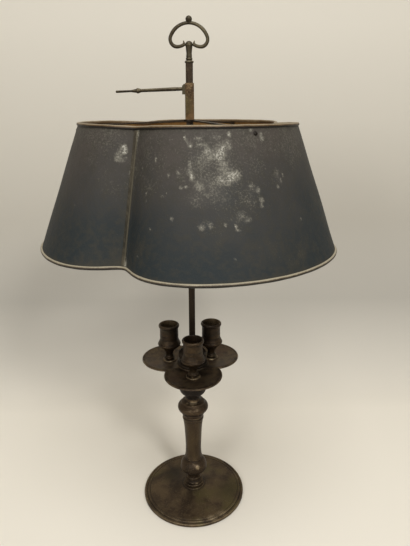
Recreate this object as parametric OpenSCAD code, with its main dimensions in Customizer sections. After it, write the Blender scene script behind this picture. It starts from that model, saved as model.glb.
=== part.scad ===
// Bouillotte lamp: a turned brass stem with a trefoil drip tray and three candle
// sockets, and a lobed tole shade that slides on a square rod and is locked by a
// screw key. Millimetres, +Z up. The origin is on the floor, on the lamp's axis;
// -Y is the front and the key points to -X.

/* [Base] */
// Diameter of the base plate
base_d = 147.2; // [130:0.2:180]
// Height of the base plate's outer edge
base_edge_h = 4.2; // [3.4:0.1:6]
// Height of the base plate's top under the stem
base_top_h = 13; // [12:0.5:18]
// Thickness of the base plate's wall
base_wall = 3; // [2.4:0.1:4]
// Distance between the two moulding lines at the base's edge
base_line_gap = 4.2; // [3:0.1:6]
// Diameter of the nut under the base
nut_d = 16; // [14:0.5:20]
// Height of the nut under the base
nut_h = 4; // [3:0.1:5]
// Thickness of the washer under the base
washer_t = 1.2; // [0.8:0.1:2]
// Diameter of the washer under the base
washer_d = 24; // [21:0.5:28]

/* [Stem] */
// Diameter of the threaded tie rod inside the stem
tie_d = 7; // [5:0.1:8]
// Height of the foot collar
collar_h = 12; // [9:0.5:16]
// Largest diameter of the foot collar
collar_d = 27.5; // [25:0.5:34]
// Height of the lower knop with its necks
low_knop_h = 34; // [28:0.5:42]
// Largest diameter of the lower knop
low_knop_d = 38.6; // [30:0.2:46]
// Diameter of the lower knop's necks
neck_d = 18.6; // [15:0.2:23]
// Height of the column
column_h = 73; // [60:1:100]
// Smallest diameter of the column
column_d = 22.4; // [20:0.2:25]
// Diameter of the column's flared foot
column_foot_d = 25.8; // [24.4:0.2:32]
// Diameter of the column's capital
capital_d = 30; // [27:0.2:36]
// Height of the upper knop
up_knop_h = 28; // [22:0.5:36]
// Largest diameter of the upper knop
up_knop_d = 42.8; // [36:0.2:50]
// Diameter of the neck between the upper knop and the cup
cup_neck_d = 21.2; // [17:0.2:25]
// Height of the cup under the tray
cup_h = 49; // [40:0.5:56]
// Diameter of the cup's bowl
cup_d = 37.4; // [32:0.2:42]

/* [Drip tray] */
// Distance from the lamp's axis to each lobe's centre
lobe_at = 33.4; // [32:0.2:35]
// Radius of each lobe
lobe_r = 38; // [36:0.5:44]
// Depth of each dished lobe below its rim
lobe_depth = 4; // [3.4:0.2:7]
// Thickness of the tray's metal
tray_t = 2; // [1.6:0.1:2.8]
// Radius of the rounded lip round the tray
lip_r = 1.4; // [1.2:0.1:2]
// Diameter of the flat boss in the middle of the tray
boss_d = 44; // [42:0.5:45]
// Turn of the tray and its sockets about the axis, in degrees
tray_turn = 4; // [0:0.5:12]
// Offset of the lobes and sockets from the axis towards +X
tray_shift = -1.6; // [-2:0.1:2]
// Diameter of the raised seat under each socket
seat_d = 19.2; // [17:0.2:20]
// Height of the seat above the lobe's floor
seat_h = 1.8; // [0.6:0.1:2.2]

/* [Candle sockets] */
// Height of a candle socket
socket_h = 52.2; // [46:0.2:60]
// Diameter of the bore that takes the candle
candle_d = 22.6; // [19:0.1:23]
// Depth of the candle's bore
candle_depth = 30; // [22:0.5:31]
// Outer diameter of the socket's plain body
socket_d = 25.8; // [25.4:0.1:27]
// Outer diameter of the socket's rolled rim
socket_rim_d = 28.2; // [27.6:0.1:31]
// Outer diameter of the shoulder under the socket's body
socket_ring_d = 28.6; // [28:0.1:29]
// Diameter of the socket's narrow neck
socket_neck_d = 9.6; // [8:0.1:12]
// Diameter of the socket's foot
socket_foot_d = 13.6; // [12.6:0.1:16]
// Diameter of the tenon that holds the socket in the tray
tenon_d = 5; // [4:0.1:6]
// Diameter of the nut on the tenon, under the tray
tenon_nut_d = 9.5; // [8.5:0.1:11]
// Height of the nut on the tenon
tenon_nut_h = 3; // [2:0.1:4]

/* [Rod and hub] */
// Height of the hub on the tray
hub_h = 32.5; // [26:0.5:40]
// Largest diameter of the hub
hub_d = 37.6; // [34:0.2:38]
// Diameter of the hub's foot flange
hub_foot_d = 41; // [38:0.2:42]
// Width of the square rod
rod_w = 8.2; // [7:0.1:8.6]
// Length of the rod's square part
rod_len = 345.2; // [300:0.2:420]
// Diameter of the rod's round tenons
rod_tenon_d = 5; // [4:0.1:6]
// Length of the tenon in the hub
rod_tenon_h = 12; // [8:0.5:14]

/* [Handle] */
// Height from the rod's top to the lowest middle line of the loop
loop_low = 16.8; // [15:0.1:22]
// Height of the loop, from its lowest to its highest middle line
loop_h = 24.1; // [20:0.1:30]
// Width of the loop between its middle lines
loop_w = 41.6; // [36:0.2:50]
// Radius of the loop's two lower bends
bend_r = 7.6; // [7:0.1:9.5]
// Radius of the loop's two returns to the stem
return_r = 14.2; // [13:0.1:16]
// Angle of each return's arc, in degrees
return_angle = 38; // [35:1:42]
// Diameter of the loop's bar
bar_d = 3.6; // [3:0.1:4.4]
// Height of the loop's two small spurs
spur_h = 4; // [3:0.1:5]
// Diameter of the handle's collar
handle_collar_d = 10; // [9:0.1:13]
// Diameter of the bead above the handle's collar
handle_bead_d = 7.6; // [7.2:0.1:9]
// Smallest diameter of the handle's stem
handle_neck_d = 6.1; // [5.8:0.1:7]
// Diameter of the handle's domed head
handle_head_d = 8.6; // [8:0.1:10]
// Diameter of the ball finial
ball_d = 7.2; // [6:0.1:9]

/* [Slide and key] */
// Length of the slide tube
tube_len = 39.5; // [32:0.5:50]
// Wall of the slide tube
tube_wall = 0.95; // [0.8:0.05:1.3]
// How far the slide tube's upper end hangs below the rod's top
tube_drop = 21; // [19:0.1:120]
// Height of the clamp boss
clamp_h = 11; // [10:0.1:14]
// How far the clamp boss stands out from the tube
clamp_out = 3.2; // [3:0.1:6]
// Diameter of the key's threaded tip
key_thread_d = 4; // [3.4:0.1:4.8]
// Length of the key from the boss to the middle of its bead
key_len = 50.4; // [40:0.2:60]
// Length of the key's flattened tail
key_tail = 25; // [16:0.5:30]
// Diameter of the key's bead
key_bead_d = 5.8; // [5:0.1:8]
// Bend of the key's shank outside the boss, in degrees
key_bend = 2.4; // [0:0.2:4]
// Thickness of the shoe between the key and the rod
shoe_t = 0.9; // [0.7:0.05:1.2]
// Travel of the shoe when the key is undone
shoe_travel = 0.45; // [0.2:0.05:0.6]

/* [Shade] */
// Height of the shade between the middles of its two beads
shade_h = 138; // [110:1:170]
// How far the top bead's middle hangs below the slide tube
shade_drop = 4; // [3:0.1:8]
// Radius of the lobes at the top, to the sheet's outside
top_r = 127; // [110:0.5:140]
// Radius of the lobes at the bottom, to the sheet's outside
bottom_r = 179.5; // [160:0.5:200]
// Depth of the three pinches at the top
top_pinch = 22.5; // [10:0.5:30]
// Depth of the three pinches at the bottom
bottom_pinch = 40; // [20:0.5:45]
// How far the top bead dips at a pinch
pinch_dip = 2; // [0:0.1:4]
// Angle of the left pinch, from the front towards +X, in degrees
pinch_angle_left = -30; // [-36:1:-24]
// Angle of the right pinch
pinch_angle_right = 100; // [92:1:104]
// Angle of the back pinch
pinch_angle_back = 214; // [206:1:220]
// Half angle over which a pinch is rounded
pinch_round_angle = 6; // [4:0.5:9]
// Angle in which a pinch fades to a third of its depth
pinch_fade_angle = 10; // [7:0.5:14]
// Thickness of the painted sheet
sheet_t = 0.8; // [0.6:0.05:1]
// Diameter of the wired beads
bead_d = 4; // [3:0.1:5]
// Width of a seam strip
seam_w = 4.8; // [3.6:0.1:6.4]
// Thickness of a seam strip
seam_t = 0.7; // [0.5:0.05:1]

/* [Spider] */
// Angle of the first spider arm, from the front towards +X
arm_turn = 29; // [26:1:34]
// Angle from each spider arm to the next, which keeps them off the candles' way
arm_step = 123; // [119:1:125]
// Width of a spider arm
arm_w = 5; // [4:0.1:7]
// Thickness of a spider arm
arm_t = 1.6; // [1.2:0.1:2]
// Depth of the arms' rivets below the top bead's middle
rivet_drop = 6.5; // [6:0.1:12]
// Diameter of a rivet's shank
rivet_d = 2.4; // [2:0.1:3]
// Diameter of a rivet's head
rivet_head_d = 4; // [3.6:0.1:4.6]
// Thickness of the spider's hub plate
spider_t = 2; // [1.6:0.1:3]

/* [Hidden] */

$fn = 96;
bore_gap = 0.15;   // all round, between the tie rod or a tenon and its hole
run_gap = 0.05;    // all round, between a thread or slide and its bore
seat_gap = 0.05;   // between two faces that meet but do not press
slide_gap = 0.1;   // each side, between the slide tube and the rod
step = 0.1;        // how far a cutting tool passes the face that it cuts
thread_pass = 1;   // how far a threaded end passes its nut
ridge_w = 1.2;     // width of the ridge between two lobes
ridge_up = 0.2;    // how far the ridge stands out from the lobes, above and below
ridge_end = 3;     // length of the ridge that is as high as the lip
seat_ease = 0.6;   // step at the edge of a socket's seat
head_gap = 1.5;    // how far a rivet's hole is cut past the metal on each side
key_rise = 0.5;    // height of the key's axis above the boss's middle

// heights of the stacked stem, from the floor
collar_z = base_top_h;
low_knop_z = collar_z + collar_h;
column_z = low_knop_z + low_knop_h;
up_knop_z = column_z + column_h;
cup_z = up_knop_z + up_knop_h;
tray_z = cup_z + cup_h;
floor_z = tray_z + tray_t;
rim_z = floor_z + lobe_depth;
seat_z = floor_z + seat_h;
boss_z = rim_z - 1.2;
hub_z = boss_z;
rod_z = hub_z + hub_h;
handle_z = rod_z + rod_len;

dish_r = lobe_r - lip_r;
socket_turns = [0, 120, -120];

// slide, key and shoe
tube_z = handle_z - tube_drop - tube_len;
tube_in = rod_w + 2 * slide_gap;
tube_out = tube_in + 2 * tube_wall;
clamp_z = tube_z + tube_len - clamp_h / 2 - 1;
boss_face_x = -tube_out / 2 - clamp_out;
key_z = clamp_z + key_rise;
spider_d = 1.35 * tube_out;
shoe_d = key_thread_d + 1;
shoe_x = -rod_w / 2 - seat_gap;
key_tip_x = shoe_x - shoe_t - seat_gap;

// shade
shade_z = tube_z - shade_drop;
panel_steps = 42;
bead_steps = 144;
bead_sides = 8;
bead_flat = bead_d / 2 * cos(180 / bead_sides);
shade_low_z = shade_z - shade_h;
pinches = [pinch_angle_left, pinch_angle_right, pinch_angle_back];
rivet_z = shade_z - rivet_drop;
arm_z = tube_z - spider_t / 2;
wall_lean = atan((bottom_r - top_r) / shade_h);

// ---- outlines ----

// points of an arc about [x, y] with radii rx and ry, from angle a to angle b
function arc(x, y, rx, ry, a, b, n = 8) =
    [for (i = [0 : n]) let (t = a + (b - a) * i / n) [x + rx * cos(t), y + ry * sin(t)]];

// angle between two directions, never more than 180
function apart(a, b) = let (d = abs(a - b) % 360) min(d, 360 - d);

// share of the pinch's depth at angle a: 1 on a pinch, fading on both sides
function pinch(a) =
    let (d = min([for (p = pinches) apart(a, p)]))
    exp(-(sqrt(d * d + pinch_round_angle * pinch_round_angle) - pinch_round_angle) / pinch_fade_angle);

function bottom_radius(a) = bottom_r - bottom_pinch * pinch(a);
function top_radius(a) = top_r - top_pinch * pinch(a);

// radius of the sheet's outside at angle a and height z
function wall_radius(a, z) =
    let (k = (z - shade_low_z) / shade_h)
    bottom_radius(a) * (1 - k) + top_radius(a) * k;

// point at angle a from the front towards +X
function around(a, r, z) = [r * sin(a), -r * cos(a), z];

function top_z(a) = shade_z - pinch_dip * pinch(a);

// angle that half a seam strip covers, seen from the axis
seam_angle = seam_w / 2 / (top_r - top_pinch) * 180 / PI;

// angles of a panel from pinch a to pinch b: its first and last facets carry the
// seam strips, and the others are closer together near the pinches
function panel_angles(a, b, n) =
    let (from = a + seam_angle, to = b - seam_angle)
    concat([a], [for (i = [0 : n]) let (t = i / n, u = 0.5 * t + 0.25 * (1 - cos(180 * t)))
                 from + (to - from) * u], [b]);

// ---- general shapes ----

// turned piece: a closed outline of [radius, height] points
module turned(outline, z = 0) {
    translate([0, 0, z]) rotate_extrude() polygon(outline);
}

module bored(d, z, h) {
    difference() {
        children();
        translate([0, 0, z - step]) cylinder(d = d, h = h + 2 * step);
    }
}

// shell that follows the lobed wall through a list of angles, between two offsets
// from the sheet's outside, from height z0 up to the top bead less top_drop
module lobed_shell(list, inside, outside, z0, top_drop) {
    m = len(list);
    points = [for (t = list) each [
        around(t, wall_radius(t, z0) + inside, z0),
        around(t, wall_radius(t, z0) + outside, z0),
        around(t, wall_radius(t, top_z(t) - top_drop) + outside, top_z(t) - top_drop),
        around(t, wall_radius(t, top_z(t) - top_drop) + inside, top_z(t) - top_drop)
    ]];
    sides = [for (i = [0 : m - 2], k = [0 : 3])
        let (p = 4 * i + k, q = 4 * i + (k + 1) % 4)
        each [[p, p + 4, q], [q, p + 4, q + 4]]];
    polyhedron(points, concat(sides, [[0, 1, 2, 3]], [[for (k = [3 : -1 : 0]) 4 * (m - 1) + k]]));
}

// closed bead that follows the lobed outline at the top (top = true) or bottom
module lobed_bead(top, n) {
    function mid(a) = around(a, (top ? top_radius(a) : bottom_radius(a)) - sheet_t / 2,
                             top ? top_z(a) : shade_low_z);
    points = [for (i = [0 : n - 1])
        let (a = 360 * i / n, p = mid(a), d = mid(a + 1) - mid(a - 1),
             out = [-d[1], d[0], 0] / -norm([d[0], d[1]]))
        for (k = [0 : bead_sides - 1])
        let (t = 360 * (k + 0.5) / bead_sides)
        p + bead_d / 2 * (cos(t) * out + [0, 0, sin(t)])];
    faces = [for (i = [0 : n - 1], k = [0 : bead_sides - 1])
        let (j = (i + 1) % n, l = (k + 1) % bead_sides,
             p = i * bead_sides + k, q = i * bead_sides + l,
             r = j * bead_sides + k, s = j * bead_sides + l)
        each [[p, r, q], [q, r, s]]];
    polyhedron(points, faces);
}

// ---- base ----

module base_plate() {
    r = base_d / 2;
    line_r = r - base_line_gap;
    top_r1 = line_r - base_line_gap;
    step_h = base_edge_h + 0.9;
    foot_r = collar_d / 2 + 2;
    top = concat(
        arc(r - 1.2, base_edge_h - 2.2, 1.2, 2.2, 0, 90),
        [[line_r + 0.5, base_edge_h], [line_r, base_edge_h - 0.7], [line_r - 0.5, base_edge_h]],
        arc(top_r1 + 2, step_h - 0.9, 1.6, 0.9, 0, 90),
        [[top_r1 + 0.5, step_h], [top_r1, step_h - 0.6], [top_r1 - 0.5, step_h]],
        [for (k = [1 : 12]) let (t = k / 12)
            [top_r1 - 0.5 - (top_r1 - 0.5 - foot_r) * t,
             step_h + (base_top_h - 0.8 - step_h) * (0.6 * t * t + 0.4 * t)]],
        [[foot_r, base_top_h], [0, base_top_h]]);
    under = [
        [0, base_top_h - base_wall - 0.5], [nut_d, base_top_h - base_wall - 0.5],
        [top_r1 - 6, step_h - base_wall + 0.9], [top_r1, step_h - base_wall - 0.6],
        [top_r1, 0], [r - 0.8, 0], [r, 0.8]
    ];
    color("#4a3a2a") bored(tie_d + 2 * bore_gap, 0, base_top_h) turned(concat(under, top));
}

washer_z = base_top_h - base_wall - 0.5 - washer_t;
nut_z = washer_z - nut_h;

module base_washer() {
    color("#5b5148") translate([0, 0, washer_z]) difference() {
        cylinder(d = washer_d, h = washer_t);
        translate([0, 0, -step]) cylinder(d = tie_d + 2 * bore_gap, h = washer_t + 2 * step);
    }
}

module base_nut() {
    color("#4b4540") translate([0, 0, nut_z]) difference() {
        cylinder(d = nut_d, h = nut_h, $fn = 6);
        translate([0, 0, -step]) cylinder(d = tie_d + 2 * run_gap, h = nut_h + 2 * step);
    }
}

tie_low_z = nut_z - thread_pass;
tie_high_z = rod_z - rod_tenon_h - 3;

module tie_rod() {
    color("#4d4a46") translate([0, 0, tie_low_z]) cylinder(d = tie_d, h = tie_high_z - tie_low_z);
}

// ---- stem, from the floor up ----

module foot_collar() {
    r = collar_d / 2;
    top_r2 = neck_d / 2 + 0.6;
    outline = concat(
        [[0, 0], [r - 0.6, 0]],
        arc(r - 1.6, 1.9, 1.6, 1.9, -50, 90),
        arc(r - 2.6, 6.2, 1.9, 2.2, -80, 90),
        [[top_r2 + 0.5, 8.8], [top_r2, collar_h], [0, collar_h]]);
    color("#4c3b2b") bored(tie_d + 2 * bore_gap, collar_z, collar_h) turned(outline, collar_z);
}

module lower_knop() {
    r = low_knop_d / 2;
    neck = neck_d / 2;
    top = low_knop_h;
    foot = column_foot_d / 2;
    outline = concat(
        [[0, 0], [neck + 0.8, 0], [neck + 0.8, 0.6], [neck, 1.8], [neck, top - 21.4],
         [neck + 1.2, top - 20], [r - 3.4, top - 19]],
        arc(r - 2.2, top - 16.4, 2.2, 2.5, -78, 20, 8),
        arc(foot - 3, top - 14.6, r - foot + 2.8, 12.4, 8, 62, 10),
        [[foot - 0.4, top - 2.6], [foot - 1.4, top - 1.8], [foot - 1.8, top], [0, top]]);
    color("#4b3b2b") bored(tie_d + 2 * bore_gap, low_knop_z, low_knop_h)
        turned(outline, low_knop_z);
}

module column() {
    r = column_d / 2;
    foot = column_foot_d / 2;
    cap = capital_d / 2;
    top = column_h;
    outline = concat(
        [[0, 0], [foot - 0.4, 0]],
        arc(foot - 0.8, 1.2, 0.8, 1.2, -60, 70, 4),
        [[foot - 0.9, 4.6], [foot - 1.4, 7.6], [r + 0.1, 11.6], [r - 0.1, 16], [r, top - 50],
         [r + 0.3, top - 42], [r + 0.7, top - 32], [r + 1.3, top - 22], [r + 2, top - 14],
         [r + 2.6, top - 10.6], [r + 2.3, top - 10], [r + 2.8, top - 9.4], [r + 2.6, top - 8.6]],
        arc(cap - 1.2, top - 5, 1.2, 1.9, -90, 80, 8),
        [[cap - 1.1, top - 2.6], [cap - 0.5, top - 2], [cap - 0.7, top], [0, top]]);
    color("#4e3b2a") bored(tie_d + 2 * bore_gap, column_z, column_h) turned(outline, column_z);
}

module upper_knop() {
    r = up_knop_d / 2;
    neck = cup_neck_d / 2;
    top = up_knop_h;
    outline = concat(
        [[0, 0], [capital_d / 2 - 0.2, 0], [capital_d / 2 - 0.2, 1.4], [capital_d / 2 + 0.3, 2]],
        arc(r - 6.6, 4, 1.6, 1.5, -60, 60, 6),
        arc(r - 7, 12.8, 7, 6.4, -62, 50, 14),
        [[r - 3.4, 18.6], [r - 4.2, 19.2]],
        arc(neck + 1.6, 20.2, 4.2, 2.6, 0, 80, 6),
        [[neck + 0.4, 23.8], [neck, 25], [neck, top], [0, top]]);
    color("#4c3a2b") bored(tie_d + 2 * bore_gap, up_knop_z, up_knop_h) turned(outline, up_knop_z);
}

module tray_cup() {
    r = cup_d / 2;
    neck = cup_neck_d / 2;
    top = cup_h;
    bowl = 15;
    lip = boss_d / 2 - 2;
    outline = concat(
        [[0, 0], [neck, 0], [neck, 2.8], [neck + 0.8, 4.6]],
        arc(r - 7.6, bowl, 7.6, 8.8, -58, 0, 10),
        [[r, top - 31], [r - 0.6, top - 29.4], [r, top - 28], [r - 1.6, top - 24],
         [r - 2.4, top - 19], [r - 1.6, top - 12], [lip - 1, top - 5],
         [lip, top - 4], [lip, top], [0, top]]);
    color("#3c2f24") bored(tie_d + 2 * bore_gap, cup_z, cup_h) turned(outline, cup_z);
}

// ---- tray ----

module at_lobe(turn) {
    translate([tray_shift, 0, 0]) rotate([0, 0, tray_turn + turn])
        translate([0, -lobe_at, 0]) children();
}

// height of a lobe's inner surface above its own lowest point, at radius r
function dish(r) = lobe_depth * r * r / (dish_r * dish_r);

dish_radii = [0, 10, 18, 24, 29, 33];

// one dished lobe with its rounded lip
module lobe() {
    high = rim_z - tray_z;
    under = [for (r = dish_radii) [r, dish(r)]];
    inner = [for (i = [len(dish_radii) - 1 : -1 : 0]) let (r = dish_radii[i]) [r, tray_t + dish(r)]];
    turned(concat(under, arc(dish_r, high - lip_r, lip_r, lip_r, -60, 120, 8),
                  [[dish_r - 1.5, high - 1]], inner), tray_z);
}

// third of the tray that belongs to the lobe on -Y: the lobes meet on its sides
module third() {
    reach = 2 * (lobe_at + lobe_r);
    translate([0, 0, tray_z - step]) linear_extrude(rim_z - tray_z + 2 * step)
        polygon([[0, 0], [-reach * sin(60), -reach * cos(60)], [reach * sin(60), -reach * cos(60)]]);
}

// narrow ridge where two lobes meet, from the boss out through the lip's inward corner
module ridge() {
    high = rim_z - tray_z;
    corner = lobe_at / 2 + sqrt(lobe_r * lobe_r - lobe_at * lobe_at * 3 / 4);
    line = [for (k = [0 : 5]) let (r = corner * (0.3 + 0.11 * k))
        [r, dish(norm([r * sin(60), lobe_at - r * cos(60)]))]];
    rotate([90, 0, -90]) translate([0, tray_z, -ridge_w / 2]) linear_extrude(ridge_w)
        polygon(concat(
            [for (p = line) p - [0, ridge_up]],
            [[corner - ridge_end, high - 2 * lip_r - ridge_up],
             [corner + ridge_up, high - 2 * lip_r - ridge_up],
             [corner + ridge_up, high + ridge_up], [corner - ridge_end, high + ridge_up]],
            [for (i = [len(line) - 1 : -1 : 0]) line[i] + [0, tray_t + ridge_up]]));
}

module drip_tray() {
    color("#3d3225") difference() {
        union() {
            for (turn = socket_turns)
                translate([tray_shift, 0, 0]) rotate([0, 0, tray_turn + turn]) intersection() {
                    translate([0, -lobe_at, 0]) lobe();
                    third();
                }
            for (turn = socket_turns)
                translate([tray_shift, 0, 0]) rotate([0, 0, tray_turn + turn + 60]) ridge();
            for (turn = socket_turns) at_lobe(turn) translate([0, 0, tray_z + tray_t / 2]) {
                cylinder(d = seat_d, h = seat_z - tray_z - tray_t / 2 - seat_ease);
                cylinder(d = seat_d - 2 * seat_ease, h = seat_z - tray_z - tray_t / 2);
            }
            translate([0, 0, tray_z]) cylinder(d = boss_d, h = boss_z - tray_z);
        }
        for (turn = socket_turns) at_lobe(turn) translate([0, 0, tray_z - step])
            cylinder(d = tenon_d + 2 * bore_gap, h = lobe_depth + tray_t);
        translate([0, 0, tray_z - step]) cylinder(d = tie_d + 2 * bore_gap, h = lobe_depth + tray_t);
        translate([0, 0, boss_z]) cylinder(d = boss_d - 2, h = lobe_depth);
    }
}

tenon_low = -(seat_z - tray_z) - tenon_nut_h - thread_pass;

// candle socket, standing on its own foot at height 0
module candle_socket() {
    body = socket_d / 2;
    rim = socket_rim_d / 2;
    ring = socket_ring_d / 2;
    neck = socket_neck_d / 2;
    foot = socket_foot_d / 2;
    h = socket_h;
    outline = concat(
        [[0, tenon_low], [tenon_d / 2 - 0.4, tenon_low], [tenon_d / 2, tenon_low + 0.4],
         [tenon_d / 2, 0], [foot - 0.4, 0]],
        arc(foot - 0.8, 0.9, 0.8, 0.9, -60, 90, 6),
        [[neck + 0.9, 2.2], [neck + 0.2, 4], [neck, 7.4], [neck, h - 40.4],
         [neck + 0.5, h - 37.6], [neck + 2, h - 35.8], [ring - 3.6, h - 35]],
        arc(ring - 1.9, h - 33, 1.9, 2, -80, 60, 8),
        [[ring - 1.4, h - 30.8], [ring - 1.2, h - 30.2], [body + 0.4, h - 26.4],
         [body + 0.1, h - 23.4], [body - 0.2, h - 21], [body - 0.5, h - 20.5], [body - 0.2, h - 20],
         [body - 0.1, h - 15.4], [body - 0.5, h - 14.9], [body - 0.2, h - 14.4],
         [body - 0.3, h - 6.6], [body + 0.1, h - 5.6], [body - 0.1, h - 4.9]],
        arc(rim - 1.5, h - 2.3, 1.5, 2.3, -68, 90, 10),
        [[candle_d / 2 + 0.8, h], [candle_d / 2, h - 0.8], [candle_d / 2, h - candle_depth],
         [0, h - candle_depth]]);
    turned(outline);
}

module placed_socket(i) {
    color("#231a14") at_lobe(socket_turns[i]) translate([0, 0, seat_z]) candle_socket();
}

module candle_socket_front() { placed_socket(0); }
module candle_socket_right() { placed_socket(1); }
module candle_socket_left() { placed_socket(2); }

module socket_nuts() {
    color("#3c352e") for (turn = socket_turns)
        at_lobe(turn) translate([0, 0, tray_z - tenon_nut_h]) difference() {
            cylinder(d = tenon_nut_d, h = tenon_nut_h, $fn = 6);
            translate([0, 0, -step])
                cylinder(d = tenon_d + 2 * run_gap, h = tenon_nut_h + 2 * step);
        }
}

// ---- hub and rod ----

module rod_hub() {
    r = hub_d / 2;
    foot = hub_foot_d / 2;
    h = hub_h;
    outline = concat(
        [[0, 0], [foot - 0.6, 0]],
        arc(foot - 1.2, 1.3, 1.2, 1.3, -60, 90, 6),
        [[r - 2.4, 3.4], [r - 3.8, 5.4]],
        arc(r - 8.8, 13, 8.8, 8, -58, 62, 14),
        [[r - 5, 21.2]],
        arc(rod_w / 2 + 4.2, 22.6, 5.2, 4.4, 0, 88, 6),
        [[rod_w / 2 + 3.4, 29], [rod_w / 2 + 2.4, h - 1], [rod_w / 2 + 2.2, h], [0, h]]);
    color("#30302e") difference() {
        turned(outline, hub_z);
        translate([0, 0, hub_z - step])
            cylinder(d = tie_d + 2 * bore_gap, h = tie_high_z - hub_z + 1 + step);
        translate([0, 0, rod_z - rod_tenon_h - 0.5])
            cylinder(d = rod_tenon_d + 2 * bore_gap, h = rod_tenon_h + 1);
    }
}

handle_tenon_h = 8;

module square_rod() {
    color("#45392b") union() {
        translate([-rod_w / 2, -rod_w / 2, rod_z]) cube([rod_w, rod_w, rod_len]);
        translate([0, 0, rod_z - rod_tenon_h]) cylinder(d = rod_tenon_d, h = rod_tenon_h + 1);
        translate([0, 0, handle_z - 1]) cylinder(d = rod_tenon_d - 1, h = handle_tenon_h + 1);
    }
}

// ---- handle ----

// The half loop is three arcs that meet without a corner: the top arch, the
// lower bend and the return. The arch's radius follows from the loop's height
// and width: it touches the bend's circle from outside.
loop_z = handle_z + loop_low;
bend_x = loop_w / 2 - bend_r;
bend_z = loop_z + bend_r;
arch_top = loop_z + loop_h;
arch_r = ((arch_top - bend_z) * (arch_top - bend_z) + bend_x * bend_x - bend_r * bend_r)
    / (2 * (arch_top - bend_z - bend_r));
arch_z = arch_top - arch_r;
arch_angle = atan2(bend_z - arch_z, bend_x);
return_z = loop_z + return_r;

// round bar bent to an arc in the XZ plane, from angle a to angle b
module bar_arc(x, z, r, a, b, d) {
    translate([x, 0, z]) rotate([90, 0, 0]) rotate([0, 0, a]) rotate_extrude(angle = b - a)
        translate([r, 0]) circle(d = d, $fn = 32);
}

// points of a list without its first
function rest(list) = [for (i = [1 : len(list) - 1]) list[i]];

// middle line of the right half of the loop, from the stem to the top
half_path = concat(
    arc(bend_x, return_z, return_r, return_r, -90 - return_angle, -90, 6),
    rest(arc(bend_x, bend_z, bend_r, bend_r, -90, arch_angle, 14)),
    rest(arc(0, arch_z, arch_r, arch_r, arch_angle, 90, 8)));
loop_path = concat(half_path,
    [for (i = [len(half_path) - 2 : -1 : 0]) [-half_path[i][0], half_path[i][1]]]);

// round bar that follows a path of [x, z] points
module bent_bar(path, d, sides = 14) {
    n = len(path);
    points = [for (i = [0 : n - 1])
        let (t = path[min(i + 1, n - 1)] - path[max(i - 1, 0)], u = t / norm(t))
        for (k = [0 : sides - 1])
        let (c = d / 2 * cos(360 * k / sides), s = d / 2 * sin(360 * k / sides))
        [path[i][0] - u[1] * c, s, path[i][1] + u[0] * c]];
    skin = [for (i = [0 : n - 2], k = [0 : sides - 1])
        let (l = (k + 1) % sides, p = i * sides + k, q = i * sides + l)
        each [[p, q, p + sides], [q, q + sides, p + sides]]];
    polyhedron(points, concat(skin, [[for (k = [sides - 1 : -1 : 0]) k]],
                              [[for (k = [0 : sides - 1]) (n - 1) * sides + k]]));
}

// small pointed spur on the loop's return, beside the stem
module spur() {
    spur_a = return_angle - 4;
    translate([bend_x - return_r * sin(spur_a), 0, return_z - return_r * cos(spur_a)])
        rotate([0, -10, 0]) cylinder(d1 = bar_d - 0.4, d2 = 0.8, h = spur_h, $fn = 32);
}

module handle() {
    collar = handle_collar_d / 2;
    bead = handle_bead_d / 2;
    neck = handle_neck_d / 2;
    head = handle_head_d / 2;
    head_z = loop_low + 1.6;
    outline = concat(
        [[0, 0], [collar - 0.5, 0], [collar, 0.5], [collar, 1.9], [collar - 0.5, 2.4],
         [bead - 0.7, 2.7]],
        arc(bead - 1.6, 4.4, 1.6, 1.7, -60, 60, 8),
        [[neck + 0.3, 6.4], [neck, 10], [neck + 0.3, 13], [neck + 0.7, head_z - 2]],
        arc(head - 2, head_z, 2, 1.6, -40, 20, 4),
        arc(0, head_z + 0.6, head - 0.2, 3.8, 15, 90, 8));
    color("#4f493f") difference() {
        union() {
            turned(outline, handle_z);
            bent_bar(loop_path, bar_d);
            spur();
            mirror([1, 0, 0]) spur();
        }
        translate([0, 0, handle_z - step])
            cylinder(d = rod_tenon_d - 1 + 2 * bore_gap, h = handle_tenon_h + 0.5 + step);
    }
}

module ball_finial() {
    ball_z = arch_top + bar_d / 2 + ball_d / 4;
    color("#4a443b") difference() {
        translate([0, 0, ball_z]) sphere(d = ball_d);
        bar_arc(0, arch_z, arch_r, 60, 120, bar_d + 2 * seat_gap);
        translate([0, 0, arch_z - ball_d]) cylinder(r = ball_d, h = arch_r + ball_d);
    }
}

// ---- slide, clamp and key ----

module slide_tube() {
    color("#7a5c3c") difference() {
        translate([-tube_out / 2, -tube_out / 2, tube_z]) cube([tube_out, tube_out, tube_len]);
        translate([-tube_in / 2, -tube_in / 2, tube_z - step])
            cube([tube_in, tube_in, tube_len + 2 * step]);
        translate([-tube_out / 2 - step, 0, key_z]) rotate([0, 90, 0])
            cylinder(d = shoe_d + 2 * slide_gap, h = tube_wall + 2 * step);
    }
}

module clamp_boss() {
    wide = tube_out * 0.9;
    chamfer = 2;
    side = [
        [0, -clamp_h / 2], [-clamp_out, -clamp_h / 2], [-clamp_out, clamp_h / 2 - chamfer],
        [-clamp_out + chamfer, clamp_h / 2], [0, clamp_h / 2]
    ];
    color("#5a4733") difference() {
        translate([-tube_out / 2, wide / 2, clamp_z]) rotate([90, 0, 0])
            linear_extrude(wide) polygon(side);
        translate([boss_face_x - step, 0, key_z]) rotate([0, 90, 0])
            cylinder(d = key_thread_d + 2 * run_gap, h = clamp_out + 2 * step);
        translate([key_tip_x - shoe_travel - 0.2, 0, key_z]) rotate([0, 90, 0])
            cylinder(d = shoe_d + 2 * slide_gap, h = clamp_out);
    }
}

module clamp_shoe() {
    color("#8d6d3f") translate([shoe_x - shoe_t, 0, key_z]) rotate([0, 90, 0])
        cylinder(d = shoe_d, h = shoe_t);
}

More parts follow.
